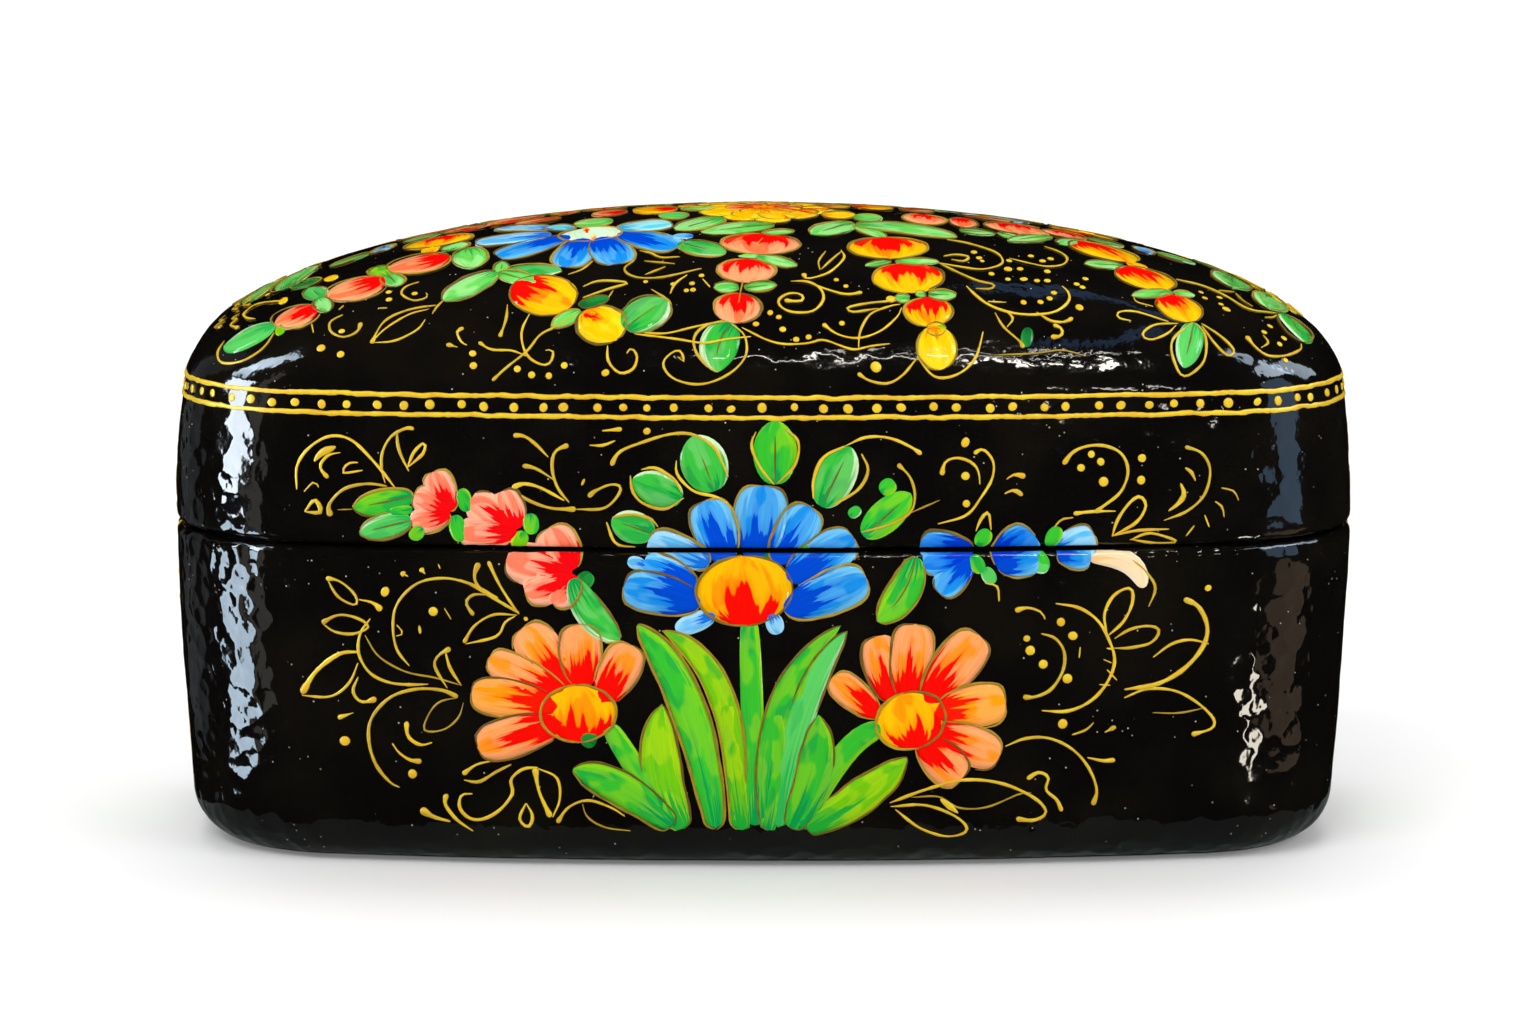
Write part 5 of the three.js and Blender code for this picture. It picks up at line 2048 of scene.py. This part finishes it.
def bead_tree():
    tree, board, wires = new_tree("laid_beads", {
        "Shell": "Object", "Sides": "Int", "Flatness": "Float", "Sunk": "Float", "Material": "Material",
    })
    shell = shell_wire(board, wires)
    lines = board.node("GeometryNodeMeshToCurve", {}, {"Mesh": wires["Geometry"]})
    loop = board.node("GeometryNodeCurvePrimitiveCircle", {}, {"Resolution": wires["Sides"], "Radius": 1.0})
    swept = board.node("GeometryNodeCurveToMesh", {}, {
        "Curve": lines, "Profile Curve": loop, "Scale": read(board, "radius"), "Fill Caps": True,
    })
    place = board.node("GeometryNodeInputPosition", {}, {})
    foot, out = nearest_place(board, shell, place), nearest_normal(board, shell, place)
    proud = board.vector_maths("DOT_PRODUCT", place - foot, out, output="Value")
    above, below = board.maths("MAXIMUM", proud, 0.0), board.maths("MINIMUM", proud, 0.0)
    height = above * wires["Flatness"] + below * wires["Sunk"] + read(board, "lift")
    close_smooth(board, swept, foot + out * height, wires["Material"])
    return tree


laid_beads = bead_tree()
print("bead tree nodes", len(laid_beads.nodes))

# %% Smooth the lines and run the tree
LINE_STEP = 0.00048
BLOB_SHARE = 1.5
BLOB_EXTRA = 0.05
TAPER_LENGTH = 1.6
END_STEPS = (0.0, 0.03, 0.1, 0.22, 0.4)
END_SPARE = 0.2
THINNEST_HALF = 0.02
BORDER_UNEVEN = (0.82, 1.18)


def smooth_line(points, closed=False):
    """A rounded line through the points, at even short steps."""
    count = len(points)
    spans = count if closed else count - 1
    made = []
    for k in range(spans):
        if closed:
            before, start, end, after = (points[(k + j) % count] for j in (-1, 0, 1, 2))
        else:
            start, end = points[k], points[k + 1]
            before = points[k - 1] if k else start * 2 - end
            after = points[k + 2] if k + 2 < count else end * 2 - start
        steps = max(1, round((end - start).length / LINE_STEP))
        for j in range(steps):
            t = j / steps
            bend = (before * -1 + start * 3 - end * 3 + after) * t**3
            bend += (before * 2 - start * 5 + end * 4 - after) * t**2
            made.append((bend + (end - before) * t + start * 2) / 2)
    return made if closed else made + [points[-1]]


def close_at_ends(line):
    """The same line with more points near its ends, where the bead closes round. Gives the run too."""
    places = np.array([tuple(p) for p in line]) / MM
    run = np.concatenate(([0], np.cumsum(np.linalg.norm(np.diff(places, axis=0), axis=1))))
    total = run[-1]
    ends = [e for e in END_STEPS if e < total / 2]
    middle = np.arange(ends[-1] + LINE_STEP / MM, total - ends[-1] - END_SPARE, LINE_STEP / MM)
    stops = np.array([*ends, *middle, *(total - e for e in reversed(ends))])
    made = np.column_stack([np.interp(stops, run, places[:, k]) for k in range(3)])
    return [Vector(p) * MM for p in made], stops, total


def rounded(away, radius):
    """How wide a round end is at a distance from its tip, as a share of its radius."""
    return math.sqrt(max(1 - max(1 - away / radius, 0) ** 2, 0.01))


def end_width(away, half, blob):
    """The half width of a stroke near one end, which is a fine taper or a round blob."""
    if not blob:
        return half * (0.4 + 0.6 * min(away / TAPER_LENGTH, 1)) * rounded(away, half)
    full = half * BLOB_SHARE + BLOB_EXTRA
    fall = min(max((away - full) / (3 * full), 0), 1)
    return (full + (half - full) * fall * fall * (3 - 2 * fall)) * rounded(away, full)


def radii(stops, total, stroke):
    """The half width of the paint at each stop of a stroke, with a hand's unevenness."""
    half = stroke["width"] / 2
    first, last = 0 in stroke["blobs"], len(stroke["points"]) - 1 in stroke["blobs"]
    phase = random.uniform(0, 6)
    made = []
    for away in stops:
        near_start = end_width(away, half, first)
        near_end = end_width(total - away, half, last)
        uneven = 1 + 0.14 * math.sin(phase + away * 1.7) + 0.06 * math.sin(phase * 3 + away * 4.9)
        chosen = near_start if away < total / 2 else near_end
        made.append(max(chosen * uneven, THINNEST_HALF) * MM)
    return made


def line_mesh(name, rows):
    """Every stroke as a bare line, whose points hold the half width, thinness and lift of the paint."""
    points, edges, radius, thinness, lift = [], [], [], [], []
    for stroke in rows:
        closed = "closed" in stroke
        line = smooth_line(stroke["points"], closed)
        if not closed:
            line, stops, total = close_at_ends(line)
        first = len(points)
        points += [tuple(p) for p in line]
        edges += [(first + k, first + k + 1) for k in range(len(line) - 1)]
        if closed:
            edges.append((first + len(line) - 1, first))
            radius += [stroke["width"] / 2 * MM * random.uniform(*BORDER_UNEVEN) for _ in line]
        else:
            radius += radii(stops, total, stroke)
        thinness += [stroke["thinness"]] * len(line)
        lift += [stroke["lift"] * MM] * len(line)
    mesh = bpy.data.meshes.new(name)
    mesh.from_pydata(points, edges, [])
    for label, values in (("radius", radius), ("thinness", thinness), ("lift", lift)):
        note(mesh, label, values)
    return mesh


bead_values = {"Sides": BEAD_SIDES, "Flatness": BEAD_FLATNESS, "Sunk": BEAD_SUNK, "Material": gold_paint}
for body, rows in strokes.items():
    lay_paint(line_mesh(f"{body}_gold_lines", rows), body, laid_beads, bead_values)

# %% [markdown]
# ## The gold border and the round touches
# Two ragged lines run round the lid with a row of dots between them, and more dots are sprinkled
# in the scrolls. Every dot is one round touch of the brush. A third tree sets a small ball on
# each point of a cloud, scales it by the point's own radius and presses it flat on the shell.

# %% The border's two lines
BORDER_HEIGHTS = (50.5, 48.44)
BORDER_WIDTH = 0.55
BORDER_SHAKE = 0.05
BORDER_LIFT = 0.05
BORDER_STEP = 1.4


def border_path(height):
    """A line round the lid, a little unsteady as a turning hand leaves it."""
    ways = np.arange(0, GIRTH - BORDER_STEP / 2, BORDER_STEP)
    return [on_wall(way, height + random.gauss(0, BORDER_SHAKE)) for way in ways]


border_rows = [
    {"points": border_path(z), "width": BORDER_WIDTH, "thinness": 0.0, "lift": BORDER_LIFT, "closed": True}
    for z in BORDER_HEIGHTS
]
lay_paint(line_mesh("lid_border_lines", border_rows), "lid", laid_beads, bead_values)

# %% The dots of the border and of the scrolls
DOT_HEIGHT = 49.42
DOT_SPACING = 2.9
DOT_SLIP = 0.5
DOT_RADIUS = 0.46
DOT_FLATNESS = 0.26
DOT_LIFT = 0.00003
DOT_UNEVEN = (0.86, 1.14)
DOT_SIZES = (0.9, 1.1)
DOT_SHAKE = 0.06
DOT_SEED = 5


def dot_tree():
    tree, board, wires = new_tree("round_touches", {
        "Shell": "Object", "Flatness": "Float", "Lift": "Float", "Least": "Float", "Most": "Float",
        "Seed": "Int", "Material": "Material",
    })
    shell = shell_wire(board, wires)
    ball = board.node("GeometryNodeMeshIcoSphere", {}, {"Radius": 1.0, "Subdivisions": 2})
    least = board.vector(1.0, 1.0, 1.0) * wires["Least"]
    most = board.vector(1.0, 1.0, 1.0) * wires["Most"]
    uneven = board.node("FunctionNodeRandomValue", {"data_type": "FLOAT_VECTOR"}, {
        "Min": least, "Max": most, "Seed": wires["Seed"],
    })
    turn = board.node("FunctionNodeRandomValue", {"data_type": "FLOAT_VECTOR"}, {
        "Max": (math.tau, math.tau, math.tau), "Seed": wires["Seed"],
    })
    placed = board.node("GeometryNodeInstanceOnPoints", {}, {
        "Points": wires["Geometry"], "Instance": ball, "Rotation": turn,
        "Scale": uneven * read(board, "radius"),
    })
    real = board.node("GeometryNodeRealizeInstances", {}, {"Geometry": placed})
    place = board.node("GeometryNodeInputPosition", {}, {})
    foot, out = nearest_place(board, shell, place), nearest_normal(board, shell, place)
    proud = board.vector_maths("DOT_PRODUCT", place - foot, out, output="Value")
    height = proud * wires["Flatness"] + wires["Lift"]
    close_smooth(board, real, foot + out * height, wires["Material"])
    return tree


def touch_cloud(name, rows):
    mesh = bpy.data.meshes.new(name)
    mesh.from_pydata([tuple(point) for point, _ in rows], [], [])
    note(mesh, "radius", [r for _, r in rows])
    return mesh


for k in range(round(GIRTH / DOT_SPACING)):
    way = k * DOT_SPACING + random.uniform(-DOT_SLIP, DOT_SLIP)
    place = on_wall(way, DOT_HEIGHT + random.gauss(0, DOT_SHAKE))
    touches["lid"].append((place, DOT_RADIUS * random.uniform(*DOT_SIZES) * MM))
round_touches = dot_tree()
dot_values = {
    "Flatness": DOT_FLATNESS, "Lift": DOT_LIFT, "Least": DOT_UNEVEN[0], "Most": DOT_UNEVEN[1],
    "Seed": DOT_SEED, "Material": gold_paint,
}
for body, rows in touches.items():
    lay_paint(touch_cloud(f"{body}_gold_dots", rows), body, round_touches, dot_values)
bpy.data.objects.remove(whole_form)

# %% [markdown] ## The finished scene
